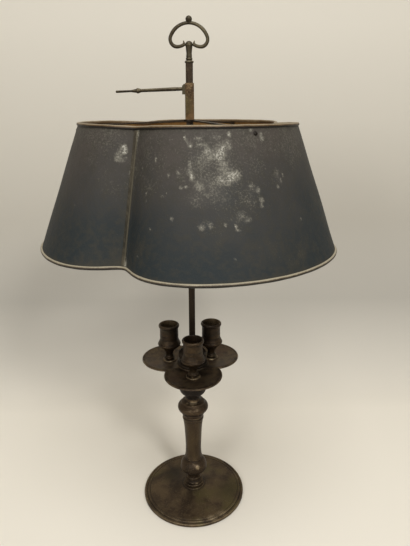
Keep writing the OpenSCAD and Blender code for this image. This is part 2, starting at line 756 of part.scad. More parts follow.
module arrow_key() {
    thread_len = key_tip_x - boss_face_x;
    shank_d = key_thread_d - 0.2;
    color("#4a4238") union() {
        translate([key_tip_x, 0, key_z]) rotate([0, -90, 0])
            cylinder(d = key_thread_d, h = thread_len + 0.6);
        translate([boss_face_x - seat_gap, 0, key_z]) rotate([0, -90 - key_bend, 0]) {
            translate([0, 0, 0.3]) cylinder(d1 = shank_d, d2 = shank_d - 0.6, h = key_len);
            translate([0, 0, key_len]) sphere(d = key_bead_d);
            translate([0, 0, key_len - 2.6]) cylinder(d = shank_d + 0.8, h = 1);
            translate([0, 0, key_len]) intersection() {
                cylinder(d1 = shank_d, d2 = shank_d + 1.6, h = key_tail);
                translate([-1.35, -key_bead_d, 0]) cube([2.7, 2 * key_bead_d, key_tail]);
            }
        }
    }
}

// ---- spider ----

module spider_hub() {
    color("#3b3128") translate([0, 0, tube_z - spider_t]) difference() {
        cylinder(d = spider_d, h = spider_t);
        translate([-tube_in / 2, -tube_in / 2, -step]) cube([tube_in, tube_in, spider_t + 2 * step]);
    }
}

module at_angle(a) {
    rotate([0, 0, a - 90]) children();
}

function arm_angle(i) = arm_turn + arm_step * i;

// arm: a flat strip from the hub out to the sheet, with its end turned down
// along the wall for the rivet
module spider_arm(i) {
    a = arm_angle(i);
    hub_r = spider_d / 2 + seat_gap;
    bend_at = rivet_z + rivet_head_d / 2 + 2.5;
    tab_low = rivet_z - rivet_head_d / 2 - 1.5;
    fold_low = bend_at - 1.25 * arm_t;
    wall_in = sheet_t / cos(wall_lean) + seat_gap;
    tab_in = wall_in + arm_t / cos(wall_lean);
    strip = [
        [hub_r, arm_z + arm_t / 2], [hub_r, arm_z - arm_t / 2],
        [wall_radius(a, fold_low) - tab_in, fold_low],
        [wall_radius(a, tab_low) - tab_in, tab_low],
        [wall_radius(a, tab_low) - wall_in, tab_low],
        [wall_radius(a, bend_at) - wall_in, bend_at - arm_t / 3],
        [wall_radius(a, bend_at) - wall_in - arm_t, bend_at]
    ];
    color("#3d3026") at_angle(a) difference() {
        translate([0, arm_w / 2, 0]) rotate([90, 0, 0]) linear_extrude(arm_w) polygon(strip);
        rivet_shape(a, rivet_d + 2 * bore_gap, 0);
    }
}

// rivet through the sheet and the arm's tab, or its hole when head is 0
module rivet_shape(a, d, head) {
    grip = sheet_t + arm_t + 3 * seat_gap;
    head_h = head / 4;
    translate([wall_radius(a, rivet_z), 0, rivet_z]) rotate([0, 90 - wall_lean, 0]) {
        translate([0, 0, -grip - (head > 0 ? head_h / 2 : head_gap)])
            cylinder(d = d, h = grip + (head > 0 ? head_h : 2 * head_gap));
        if (head > 0) {
            translate([0, 0, seat_gap]) intersection() {
                cylinder(d = head, h = head_h);
                translate([0, 0, head_h - head * 0.9]) sphere(d = head * 1.8);
            }
            translate([0, 0, -grip - 0.8 * head_h]) cylinder(d = head, h = 0.8 * head_h);
        }
    }
}

module spider_arm_front() { spider_arm(0); }
module spider_arm_back() { spider_arm(1); }
module spider_arm_left() { spider_arm(2); }

module arm_rivets() {
    color("#2b2520") for (i = [0 : 2]) let (a = arm_angle(i)) at_angle(a)
        intersection() {
            rivet_shape(a, rivet_d, rivet_head_d);
            translate([0, 0, rivet_z]) cube([4 * top_r, 20, 20], center = true);
        }
}

// ---- shade ----

module shade_panel(a, b, arm_at) {
    color("#46474a") difference() {
        lobed_shell(panel_angles(a, b, panel_steps), -sheet_t, 0, shade_low_z + bead_flat, bead_flat);
        at_angle(arm_at) rivet_shape(arm_at, rivet_d + 2 * bore_gap, 0);
    }
}

module shade_panel_front() { shade_panel(pinch_angle_left, pinch_angle_right, arm_angle(0)); }
module shade_panel_back() { shade_panel(pinch_angle_right, pinch_angle_back, arm_angle(1)); }
module shade_panel_left() { shade_panel(pinch_angle_back, pinch_angle_left + 360, arm_angle(2)); }

module seam(a) {
    color("#55524c")
        lobed_shell([a - seam_angle, a, a + seam_angle], seat_gap, seat_gap + seam_t,
                    shade_low_z + bead_d / 2 + seam_t, bead_d / 2 + seam_t);
}

module seam_left() { seam(pinch_angle_left); }
module seam_right() { seam(pinch_angle_right); }
module seam_back() { seam(pinch_angle_back); }

module top_bead() { color("#6b6154") lobed_bead(true, bead_steps); }
module bottom_bead() { color("#6b6154") lobed_bead(false, bead_steps); }

base_plate();
base_washer();
base_nut();
tie_rod();
foot_collar();
lower_knop();
column();
upper_knop();
tray_cup();
drip_tray();
candle_socket_front();
candle_socket_right();
candle_socket_left();
socket_nuts();
rod_hub();
square_rod();
handle();
ball_finial();
slide_tube();
clamp_boss();
clamp_shoe();
arrow_key();
spider_hub();
spider_arm_front();
spider_arm_back();
spider_arm_left();
arm_rivets();
shade_panel_front();
shade_panel_back();
shade_panel_left();
seam_left();
seam_right();
seam_back();
top_bead();
bottom_bead();
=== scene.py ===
# %% [markdown]
# # A bouillotte lamp
# A bouillotte lamp is a card-table lamp: a turned brass stem on a round foot carries a
# trefoil drip tray with three candle sockets, and a painted sheet-metal shade slides on
# a square rod above them. A screw key clamps the shade, and a small handle on top lifts
# the whole lamp. This script dresses the measured parts of the lamp for a picture.

import math

import bpy
import numpy as np
from mathutils import Matrix, Vector


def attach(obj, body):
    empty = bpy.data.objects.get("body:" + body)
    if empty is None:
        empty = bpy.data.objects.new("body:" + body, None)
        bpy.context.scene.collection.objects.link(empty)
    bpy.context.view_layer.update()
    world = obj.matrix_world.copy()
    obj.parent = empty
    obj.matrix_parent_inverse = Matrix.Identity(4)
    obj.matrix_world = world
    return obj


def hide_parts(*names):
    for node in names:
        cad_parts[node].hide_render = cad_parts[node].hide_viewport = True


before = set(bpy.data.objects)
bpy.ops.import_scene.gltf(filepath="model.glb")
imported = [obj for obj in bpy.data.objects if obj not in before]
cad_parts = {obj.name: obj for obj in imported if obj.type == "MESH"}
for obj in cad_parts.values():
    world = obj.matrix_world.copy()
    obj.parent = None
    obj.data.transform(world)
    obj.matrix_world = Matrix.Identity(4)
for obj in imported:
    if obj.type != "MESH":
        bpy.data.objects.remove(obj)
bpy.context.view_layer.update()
MM = 0.001

# %% [markdown]
# ## Camera
# The camera stands in front of the lamp at shade height and looks down on the base.
# Its three axes are worked out from pitch, yaw and roll and put into one matrix, which
# is easier to read than three turns in a row.

# %% The camera
def aim(place, pitch, yaw, roll):
    """Camera matrix. Forward is (sin yaw cos pitch, cos yaw cos pitch, -sin pitch),
    right is (cos yaw, -sin yaw, 0), up is right x forward, and roll turns both."""
    pitch, yaw, roll = np.radians([pitch, yaw, roll])
    ahead = np.array([math.sin(yaw) * math.cos(pitch), math.cos(yaw) * math.cos(pitch),
                      -math.sin(pitch)])
    right = np.array([math.cos(yaw), -math.sin(yaw), 0])
    up = np.cross(right, ahead)
    matrix = np.eye(4)
    matrix[:3, 0] = math.cos(roll) * right + math.sin(roll) * up
    matrix[:3, 1] = -math.sin(roll) * right + math.cos(roll) * up
    matrix[:3, 2] = -ahead
    matrix[:3, 3] = place
    return Matrix(matrix.tolist())


CAMERA_PLACE = (0, -0.5977, 0.5438)
CAMERA_PITCH, CAMERA_YAW, CAMERA_ROLL = 18.61, 1.66, -0.11
LENS_MM = 32.33

camera_data = bpy.data.cameras.new("camera")
camera_data.lens = LENS_MM
camera_data.clip_start = 0.05
camera = bpy.data.objects.new("camera", camera_data)
bpy.context.scene.collection.objects.link(camera)
camera.matrix_world = aim(CAMERA_PLACE, CAMERA_PITCH, CAMERA_YAW, CAMERA_ROLL)
bpy.context.scene.camera = camera
bpy.context.scene.view_settings.view_transform = "Standard"
print("camera stands at", [round(v, 3) for v in camera.location])

# %% [markdown]
# ## Shader arithmetic
# A finish is a sum of patterns, so the node tree is written as arithmetic. A `Wire`
# holds one output socket. Adding, multiplying or comparing wires adds Math nodes, and
# every other node comes from the one method `node`.

# %% A wire in a node tree
def join(tree, value, socket):
    """Links a wire to a socket, or writes a plain number or colour on it."""
    if isinstance(value, Wire):
        tree.links.new(value.socket, socket)
    else:
        socket.default_value = value


class Wire:
    """One output socket of a material's node tree; arithmetic on it adds Math nodes."""

    def __init__(self, socket):
        self.socket = socket

    def node(self, kind, settings=None, inputs=None, output=0):
        """Any node of this tree: its settings, then its sockets, then the wire out."""
        tree = self.socket.id_data
        made = tree.nodes.new(kind)
        for name, value in (settings or {}).items():
            if name == "stops":
                ramp = made.color_ramp
                while len(ramp.elements) < len(value):
                    ramp.elements.new(0.5)
                for stop, (place, colour) in zip(ramp.elements, value):
                    stop.position, stop.color = place, (*colour, 1)
            else:
                setattr(made, name, value)
        for name, value in (inputs or {}).items():
            join(tree, value, made.inputs[name])
        return Wire(made.outputs[output])

    def sum_of(self, operation, a, b):
        return self.node("ShaderNodeMath", {"operation": operation}, {0: a, 1: b})

    def __add__(self, other): return self.sum_of("ADD", self, other)
    def __radd__(self, other): return self.sum_of("ADD", other, self)
    def __sub__(self, other): return self.sum_of("SUBTRACT", self, other)
    def __rsub__(self, other): return self.sum_of("SUBTRACT", other, self)
    def __mul__(self, other): return self.sum_of("MULTIPLY", self, other)
    def __rmul__(self, other): return self.sum_of("MULTIPLY", other, self)
    def __neg__(self): return self.sum_of("MULTIPLY", self, -1)

    def rise(self, low, high):
        """0 below low, 1 above high, and a smooth slope between them."""
        return self.node("ShaderNodeMapRange", {"interpolation_type": "SMOOTHSTEP"},
                         {"Value": self, "From Min": low, "From Max": high})

    def mix(self, a, b):
        """Colour a where this wire is 0 and colour b where it is 1."""
        return self.node("ShaderNodeMix", {"data_type": "RGBA", "clamp_factor": True},
                         {0: self, 6: a, 7: b}, 2)

    def noise(self, scale, detail=4, rough=0.55, stretch=(1, 1, 1)):
        """Cloudy pattern about 0.5; scale is in clouds to the metre."""
        place = self.node("ShaderNodeVectorMath", {"operation": "MULTIPLY"},
                          {0: self, 1: stretch})
        return self.node("ShaderNodeTexNoise", None, {
            "Vector": place, "Scale": scale, "Detail": detail, "Roughness": rough})


print("a wire can", [name for name in vars(Wire) if not name.startswith("_")])

# %% A new finish
def colour(red, green, blue):
    """Linear colour, with alpha, of a colour given as 0 to 255 on a screen."""
    share = np.array([red, green, blue]) / 255
    linear = np.where(share <= 0.04045, share / 12.92, ((share + 0.055) / 1.055) ** 2.4)
    return (*linear.tolist(), 1.0)


def new_finish(name):
    """An empty finish: the material, its shader node, and the place on the object."""
    material = bpy.data.materials.new(name)
    material.use_nodes = True
    tree = material.node_tree
    shader = tree.nodes["Principled BSDF"]
    place = Wire(tree.nodes.new("ShaderNodeTexCoord").outputs["Object"])
    return material, shader, place


def mark_of(place, name):
    """A number that the mesh carries at every point. relief is 1 on a crest and -1 in a
    groove; on the key, the handle's loop, the wired edges and the seams' folds it also
    carries painted light: high where a highlight is painted and low where shade is. The
    second number is how far a place is rubbed bare, with painted highlights at some
    places, and below 0 how far it is darkened, mostly by painted shade."""
    return place.node("ShaderNodeAttribute", {"attribute_name": name}, output=2)


def finish(shader, base, rough, metal=0.0, height=None, depth=0.0002, gloss=0.5):
    """Plugs the patterns into the shader; height is in shares of depth metres."""
    tree = shader.id_data
    shader.inputs["Specular IOR Level"].default_value = gloss
    join(tree, base, shader.inputs["Base Color"])
    join(tree, rough, shader.inputs["Roughness"])
    join(tree, metal, shader.inputs["Metallic"])
    if height is not None:
        bump = height.node("ShaderNodeBump", None, {"Height": height, "Distance": depth})
        join(tree, bump, shader.inputs["Normal"])


print("a finish starts from", colour(128, 128, 128)[0], "for a middle grey")

# %% [markdown]
# ## Old brass
# The stem, tray, sockets and handle are cast and turned brass under a century of brown
# patina. Four layers make it: a dark skin, brown and olive clouds, dirt in the grooves
# and bright metal on the crests that hands and dusters have rubbed. Listed places add
# painted highlights and painted shade. One flat brown with a low roughness would be
# quicker, but it is the uneven dirt that makes brass look old.

# %% Old brass
GRAIN = 620  # specks to the metre
PATINA_METAL = 0.65  # less than 1, because dirt keeps part of the surface dull
# GROOVE_DIRT is patina in the hollows; the second colour darkens the listed places below
# 0: painted shade, and at a few places a darker patch.
GROOVE_DIRT, SHADE_AND_DARK_PATCH = colour(16, 13, 10), colour(26, 20, 14)


def old_brass(name, dark, brown, tint, rubbed, wear=0.5, rough=0.45,
              streak=(1, 1, 1), clouds=32):
    """Brown patina on brass. wear is how much metal shows on crests; streak squeezes
    the clouds, so (1, 1, 0.15) draws them out along the height."""
    material, shader, place = new_finish(name)
    cloud = place.noise(clouds, 5, 0.62, streak)
    other = place.noise(clouds * 0.55, 3, 0.5, streak)
    grain = place.noise(GRAIN, 4, 0.65)
    relief, worn = mark_of(place, "relief"), mark_of(place, "worn")
    base = cloud.rise(0.36, 0.64).mix(dark, brown)
    base = (other.rise(0.5, 0.72) * 0.75).mix(base, tint)
    base = (grain.rise(0.5, 0.75) * 0.3).mix(base, rubbed)
    rub = (relief + (cloud - 0.5) * 1.8 + (grain - 0.5) * 1.4).rise(0.45, 1.3) * wear
    # Rubbed-bare places of the list, and on the knops, the collar and the base's rim
    # painted highlights.
    bare = (worn * (1 + (grain - 0.5) * 2.4 + (cloud - 0.5))).rise(0.25, 1.1)
    base = (rub + bare).mix(base, rubbed)
    base = ((-relief).rise(0.1, 0.9) * 0.7).mix(base, GROOVE_DIRT)
    # Below 0 the list darkens the brass: painted shade, and at a few places a darker
    # patch.
    base = ((-worn).rise(0.05, 0.8) * 0.7).mix(base, SHADE_AND_DARK_PATCH)
    shine = rough + 0.3 * (grain - 0.5) + 0.25 * (cloud - 0.5) - 0.1 * rub - 0.12 * bare
    finish(shader, base, shine, PATINA_METAL, grain + 0.6 * cloud, 0.00025, 0.35)
    return material


print("brass grain:", GRAIN, "specks to the metre")

# %% The lamp's metals
base_brass = old_brass("base_brass", colour(58, 46, 34), colour(87, 72, 52),
                       colour(86, 78, 46), colour(148, 132, 104), wear=0.4, clouds=48)
stem_brass = old_brass("stem_brass", colour(42, 32, 22), colour(68, 53, 36),
                       colour(72, 48, 34), colour(146, 128, 100), wear=0.3)
column_brass = old_brass("column_brass", colour(54, 42, 29), colour(70, 57, 39),
                         colour(78, 53, 37), colour(132, 114, 88), wear=0.35,
                         streak=(1, 1, 0.2), clouds=110)
tray_brass = old_brass("tray_brass", colour(54, 42, 31), colour(88, 74, 54),
                       colour(74, 54, 40), colour(156, 138, 108), wear=0.35, clouds=90)
socket_brass = old_brass("socket_brass", colour(40, 29, 18), colour(64, 49, 31),
                         colour(58, 51, 36), colour(120, 102, 76), wear=0.35,
                         streak=(1, 1, 3), clouds=60)
# The cup sits under the tray, so its brass is a darker copy of the stem's: painted shade.
shaded_cup_brass = old_brass("shaded_cup_brass", colour(18, 13, 10), colour(30, 23, 18),
                      colour(27, 23, 22), colour(72, 62, 48), wear=0.2)
rivet_iron = old_brass("rivet_iron", colour(16, 12, 8), colour(30, 24, 16),
                       colour(26, 20, 14), colour(56, 48, 36), wear=0.2)
handle_brass = old_brass("handle_brass", colour(42, 35, 24), colour(76, 68, 50),
                         colour(68, 55, 37), colour(132, 122, 98), wear=0.5, rough=0.5)
hub_brass = old_brass("hub_brass", colour(34, 27, 20), colour(58, 48, 37),
                      colour(62, 46, 34), colour(112, 98, 78), wear=0.25)
tube_brass = old_brass("tube_brass", colour(62, 45, 27), colour(110, 84, 54),
                       colour(92, 82, 50), colour(160, 136, 98), wear=0.4, clouds=60)
rod_metal = old_brass("rod_metal", colour(33, 24, 14), colour(64, 51, 35),
                      colour(52, 37, 22), colour(118, 102, 78), wear=0.35,
                      streak=(1, 1, 0.15), clouds=120)
key_steel = old_brass("key_steel", colour(32, 25, 16), colour(66, 57, 40),
                      colour(52, 40, 26), colour(124, 113, 88), wear=0.4)
plain_steel = old_brass("plain_steel", colour(52, 47, 40), colour(80, 72, 60),
                        colour(72, 54, 40), colour(130, 124, 112), wear=0.3)
spider_iron = old_brass("spider_iron", colour(40, 32, 24), colour(70, 58, 42),
                        colour(66, 46, 30), colour(110, 98, 80), wear=0.3)
print("metal finishes made")

# %% [markdown]
# ## Painted sheet
# The paint is charcoal with a bluish cast below and a browner, lighter one near the top;
# the lightening is painted light from above. It is thin and brown along the seams and
# rims, and rubbed through in the listed places to a pale ground, with painted shade at a
# few of them, so each panel carries two numbers at every point: closeness to an edge, and
# wear, below 0 painted shade.

# %% Painted sheet
# The colour of painted shade on the paint, laid where the wear number is below 0.
PAINTED_SHADE = colour(26, 20, 15)


def painted(name, low_paint_shaded, high_paint_lit, edge_paint, ground, bare_ground):
    """Thin matt paint on sheet metal: the lower colour turns into the upper one up the
    wall, a colour change and painted light from above; then come mottling, edges, dust,
    the rubbed-through places and the painted shade."""
    material, shader, place = new_finish(name)
    height = place.node("ShaderNodeSeparateXYZ", None, {0: place}, 2)
    cloud = place.noise(24, 5, 0.62)
    broad = place.noise(8, 3, 0.5)
    mottle = place.noise(150, 3, 0.6)
    specks = place.noise(560, 3, 0.75)
    edge, worn = mark_of(place, "relief"), mark_of(place, "worn")
    # Lighter towards the top: a change of colour and painted light from above.
    paint = (height + (broad - 0.5) * 0.22).rise(0.41, 0.54).mix(low_paint_shaded, high_paint_lit)
    paint = (mottle.rise(0.42, 0.66) * 0.32).mix(paint, edge_paint)
    paint = ((cloud + mottle * 0.4).rise(0.62, 0.98) * 0.6).mix(paint, edge_paint)
    paint = ((edge + (cloud - 0.5)).rise(0.2, 0.9) * 0.7).mix(paint, edge_paint)
    dust = ((height - 0.44) * 1.6 + specks + (cloud - 0.5) * 0.7).rise(0.62, 0.84)
    paint = (dust * 0.35).mix(paint, ground)
    paint = (worn.rise(0.15, 1) * 0.35).mix(paint, ground)
    bare = worn * (1 + (specks - 0.5) * 7 + (mottle - 0.5) * 3)
    paint = (bare.rise(0.2, 1.1) * 0.8).mix(paint, ground)
    paint = (bare.rise(1, 2.4) * 0.85).mix(paint, bare_ground)
    # Below 0 the wear number lays painted shade.
    paint = ((-worn).rise(0.2, 1) * 0.8).mix(paint, PAINTED_SHADE)
    finish(shader, paint, 0.64 + 0.3 * (specks - 0.5), 0.0,
           mottle + 0.5 * cloud + 0.6 * specks, 0.0003, 0.18)
    return material


# The printed colour is that of the painted shade.
print("stains on the paint are", [round(v, 3) for v in PAINTED_SHADE[:3]])

# %% The shade's paints
def bead_paint(name, dark, brown, tan):
    """A wired edge: pale worn metal and a painted highlight along its top, painted shade
    below.
    """
    material, shader, place = new_finish(name)
    cloud = place.noise(60, 4, 0.6)
    grain = place.noise(500, 3, 0.6)
    ridge = mark_of(place, "relief") + (cloud - 0.5) * 0.9 + (grain - 0.5) * 0.7
    # Dark below is painted shade; tan on top is worn metal and a painted highlight.
    paint = ridge.rise(-0.5, 0.3).mix(dark, brown)
    paint = ridge.rise(0.3, 0.95).mix(paint, tan)
    finish(shader, paint, 0.45 + 0.2 * (grain - 0.5), 0.1, grain + cloud, 0.0002, 0.35)
    return material


tole_outside = painted("tole_outside", colour(36, 41, 42), colour(67, 61, 55),
                       colour(54, 51, 43), colour(110, 106, 95), colour(164, 160, 148))
tole_inside = painted("tole_inside", colour(104, 74, 34), colour(128, 96, 50),
                      colour(96, 60, 28), colour(146, 116, 66), colour(150, 122, 74))
seam_paint = painted("seam_paint", colour(42, 39, 31), colour(54, 48, 38),
                     colour(80, 74, 60), colour(104, 98, 84), colour(140, 134, 118))
low_bead_paint = bead_paint("low_bead_paint", colour(20, 15, 10), colour(72, 62, 46),
                            colour(152, 142, 120))
top_bead_paint = bead_paint("top_bead_paint", colour(18, 13, 8), colour(84, 64, 38),
                            colour(132, 118, 94))
print("painted finishes made")

# %% [markdown]
# ## Shapes
# Every new piece is a skin over a grid of points: the rows follow an outline or a path
# and the columns run round it. Sizes are in millimetres until a piece is made.

# %% Outlines
def arc(x, y, rx, ry, start, end, steps=8):
    """Points (x + rx cos t, y + ry sin t), with t from start to end in degrees."""
    t = np.radians(np.linspace(start, end, steps + 1))
    return np.stack([x + rx * np.cos(t), y + ry * np.sin(t)], 1)


def line_of(*runs):
    """One line of (radius, height) points from runs of points."""
    return np.concatenate([np.atleast_2d(np.asarray(run, float)) for run in runs])


def eased(line, cut=0.4, steps=4):
    """Rounds every corner b with (1-t)(1-t) a + 2t(1-t) b + t t c, where a and c lie on
    its two sides, at most cut from it."""
    corner = line[1:-1]
    toward = []
    for side in (line[:-2], line[2:]):
        step = side - corner
        length = np.maximum(np.linalg.norm(step, axis=1, keepdims=True), 1e-9)
        toward.append(corner + step * np.minimum(0.45, cut / length))
    t = np.linspace(0, 1, steps + 1)[:, None, None]
    curve = (1 - t) ** 2 * toward[0] + 2 * t * (1 - t) * corner + t ** 2 * toward[1]
    return line_of(line[:1], curve.transpose(1, 0, 2).reshape(-1, 2), line[-1:])


def crests(line, reach=1.0, full=0.3):
    """How far each point stands out from the line's own average over reach, in shares
    of full: up to 1 on a crest, down to -1 in a groove. No duster rubs an underside, so
    the crests fade out there."""
    steps = np.linalg.norm(np.diff(line, axis=0), axis=1)
    along = np.concatenate([[0], np.cumsum(steps)])
    share = np.exp(-(along[:, None] - along) ** 2 / (2 * reach ** 2)) * np.gradient(along)
    average = share @ line / share.sum(axis=1, keepdims=True)
    slope = np.gradient(average, axis=0)
    outward = np.stack([slope[:, 1], -slope[:, 0]], 1)
    outward /= np.maximum(np.linalg.norm(outward, axis=1, keepdims=True), 1e-9)
    relief = np.clip(((line - average) * outward).sum(axis=1) / full, -1, 1)
    return np.minimum(relief, np.clip(1 + 1.6 * outward[:, 1], 0, 1))


print("an eased corner:", eased(line_of([[0, 0], [2, 0], [2, 2]])).round(2).tolist())

# %% Skins
def volume(loops):
    """Six times the volume under faces: the sum of mean . (p x next p) round each."""
    return (loops.mean(-2, keepdims=True) * np.cross(loops, np.roll(loops, -1, -2))).sum()


def skin(grid, relief=0.0, worn=0.0, ring=False, caps=False):
    """A closed skin over points (rows, columns, 3) whose columns run round. A row that
    is one point becomes a pole; ring joins the last row to the first; caps closes both
    ends. Faces are turned so that they look outward. relief and worn are one number, or
    one for each point."""
    rows, cols = grid.shape[:2]
    index = np.arange(rows * cols).reshape(rows, cols)
    pole = np.ptp(grid, axis=1).max(axis=1) < 1e-9
    index[pole] = index[pole, :1]
    low, high = (index, np.roll(index, -1, 0)) if ring else (index[:-1], index[1:])
    quads = np.stack([low, np.roll(low, -1, 1), np.roll(high, -1, 1), high], -1)
    points = grid.reshape(-1, 3)
    ends = [index[0, ::-1], index[-1]] if caps else []
    if sum(volume(points[loops]) for loops in [quads, *ends]) < 0:
        quads, ends = quads[..., ::-1], [end[::-1] for end in ends]
    faces = [list(dict.fromkeys(face)) for face in quads.reshape(-1, 4).tolist()]
    faces += [end.tolist() for end in ends]
    marks = [np.broadcast_to(mark, (rows, cols)).reshape(-1) for mark in (relief, worn)]
    return {"points": points, "faces": faces, "marks": np.stack(marks, 1),
            "look": np.zeros(len(faces), int)}


square = np.array([[0, 0, 0], [1, 0, 0], [1, 1, 0], [0, 1, 0]], float)
cube = skin(np.stack([square, square + [0, 0, 1]]), caps=True)
print("a cube's skin:", len(cube["points"]), "points,", len(cube["faces"]), "faces")

# %% Turned and swept shapes
def turned(line, low=0.0, bore=0.0, middle=(0, 0), around=128, cut=0.4):
    """An outline of (radius, height) turned about the upright line through middle:
    (r sin a, -r cos a, z). With a bore the outline closes along it."""
    line = eased(line_of(line), cut)
    line[:, 0] = np.maximum(line[:, 0], bore)
    angle = np.linspace(0, 2 * math.pi, around, endpoint=False)
    grid = np.empty((len(line), around, 3))
    grid[..., 0] = middle[0] + line[:, :1] * np.sin(angle)
    grid[..., 1] = middle[1] - line[:, :1] * np.cos(angle)
    grid[..., 2] = low + line[:, 1:]
    return skin(grid, crests(line)[:, None], ring=bore > 0)


def swept(path, section, across=(0, 1, 0), ring=False):
    """A section of (side, up) points carried along a path in space, square to it: side
    is across x ahead and up is ahead x side."""
    if ring:
        ahead = np.roll(path, -1, 0) - np.roll(path, 1, 0)
    else:
        ahead = np.gradient(path, axis=0)
    side = np.cross(across, ahead)
    up = np.cross(ahead, side)
    side, up = (v / np.linalg.norm(v, axis=1, keepdims=True) for v in (side, up))
    return (path[:, None] + section[..., :1] * side[:, None]
            + section[..., 1:] * up[:, None])


tried = turned([[0, 0], [10, 0], [10, 5], [0, 5]], around=16)
print("a turned disc:", len(tried["points"]), "points,", len(tried["faces"]), "faces")

# %% Rubbed places
# Rubbed places on the metal: x, y, z, reach and strength. The bright places on the knops,
# the collar and the base's rim are painted highlights. Below 0 a place darkens: painted
# shade on the rod under the shade, on the cup under the tray, on the lower half of the
# upper knop and on the base's right, and darker patches on the base's left, the tray and
# the hub's foot.
WEAR_HIGHLIGHTS_AND_SHADE = np.array([
    (5.8, -16.4, 51.5, 3.4, 1.1), (-1, -14.7, 54.9, 4, 0.4), (4.6, -12.1, 18.6, 2.6, 1),
    (-1.3, -12.7, 20.2, 3, 0.6), (-8.3, -9.8, 154.8, 2.4, 0.9),
    (-1.4, -11.9, 155.3, 4, 1.1), (4.2, -10.3, 155.7, 2.6, 0.8),
    (5.4, -18.6, 149.2, 3, 0.6), (-4.2, -19.2, 149, 4, 0.5),
    (22.9, 9.7, 214.6, 3.4, 1.2), (27.3, 10.4, 213, 2.4, 0.9),
    (18.4, -1.1, 216.6, 3, 0.8), (-11.5, -16.9, 213.8, 3, 0.9),
    (-6.1, -20.7, 213.8, 3.4, 1.1), (-8.8, -24.7, 212, 4, 0.6),
    (-17, -4.5, 216.9, 5, 0.6), (-23, 2.4, 213.2, 4, 0.5), (-0.3, -40, 213.6, 2.4, 0.9),
    (7.6, -36.6, 212.8, 2.4, 0.8), (-6.6, -37.6, 212.8, 2.6, 0.6),
    (-29.7, 6, 213, 2.6, 0.7), (-36.7, 8.6, 213, 2.6, 0.6), (33, 15, 213, 3, 0.6),
    (42, 17, 213, 5, 0.45), (53, 25.5, 213.4, 5, 0.3), (-58.8, 8.9, 213.3, 7, 0.25),
    (-50.6, 32.6, 213, 7, 0.2), (14, -30, 213, 9, -0.5), (16, -48, 213, 9, -0.4),
    (24, 30, 213, 9, -0.4), (21.9, -62, 5, 7, 0.6), (36.3, -54, 5, 7, 0.6),
    (48.3, -43, 5, 6, 0.4), (6.5, -65, 5, 7, 0.5), (28.7, -64, 4.7, 6, 0.4),
    (43.3, -54, 4.8, 5, 0.4), (-24, -64, 5, 9, 0.45), (-45, -52, 5, 9, 0.4),
    (-66, 3, 5, 9, 0.35), (-32, 24, 7.5, 18, -0.9), (-26, -6, 9, 14, -0.5),
    (18, 8, 11, 10, -0.4), (54, -10, 5, 28, -0.5), (50, 20, 213, 14, -0.3),
    (0, -4, 262, 30, -1.2), (0, -4, 310, 40, -1.3), (0, -4, 370, 44, -1.3),
    (-1, -20, 215, 9, -1), (18, -8, 216, 8, -0.6), (0, -19, 206, 8, -1),
    (14, -14, 206, 8, -1), (-14, -14, 206, 8, -1), (-12, -15, 137.5, 7, -0.7),
    (3, -19, 137.5, 7, -0.7), (15, -11, 137.5, 7, -0.7), (-1, -18, 195, 11, -0.7)])
# The count takes rubbed places, painted highlights and painted shade together.
print(len(WEAR_HIGHLIGHTS_AND_SHADE), "rubbed places and stains")

# %% A piece
def piece(name, body, slot, nodes, looks, *skins):
    """One object, with its place in the mesh, from skins in millimetres. It rides on a
    body and stands in for the measured nodes that it replaces."""
    for made in skins:
        # Rubbed places, painted highlights and painted shade of the list go on the lamp's
        # own pieces.
        for *middle, reach, strength in WEAR_HIGHLIGHTS_AND_SHADE if body == "lamp" else ():
            far = ((made["points"] - middle) ** 2).sum(axis=1)
            made["marks"][:, 1] += strength * np.exp(-far / reach ** 2)
    starts = np.cumsum([0] + [len(made["points"]) for made in skins])
    points, marks, look = (np.concatenate([made[key] for made in skins])
                           for key in ("points", "marks", "look"))
    faces = [[start + corner for corner in face]
             for start, made in zip(starts.tolist(), skins) for face in made["faces"]]
    used = np.zeros(len(points), bool)
    used[[corner for face in faces for corner in face]] = True
    place = (np.cumsum(used) - 1).tolist()
    mesh = bpy.data.meshes.new(name)
    mesh.from_pydata(points[used] * MM, [], [[place[c] for c in face] for face in faces])
    mesh.shade_smooth()
    mesh.set_sharp_from_angle(angle=math.radians(50))
    for column, mark in enumerate(("relief", "worn")):
        values = marks[used, column].astype(np.float32)
        mesh.attributes.new(mark, "FLOAT", "POINT").data.foreach_set("value", values)
    for material in looks:
        mesh.materials.append(material)
    mesh.polygons.foreach_set("material_index", look.astype(np.int32))
    made = bpy.data.objects.new(name, mesh)
    bpy.context.scene.collection.objects.link(made)
    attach(made, body)
    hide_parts(*nodes)
    print(name, len(mesh.polygons), "faces")


# %% [markdown]
# ## Base and stem
# The stem is a stack of turned pieces on one tie rod. Each outline runs up the outside
# from the piece's own foot; the bore down the middle closes it. A Screw modifier on a
# curve would turn an outline too, but it can't mark the crests for the finish.

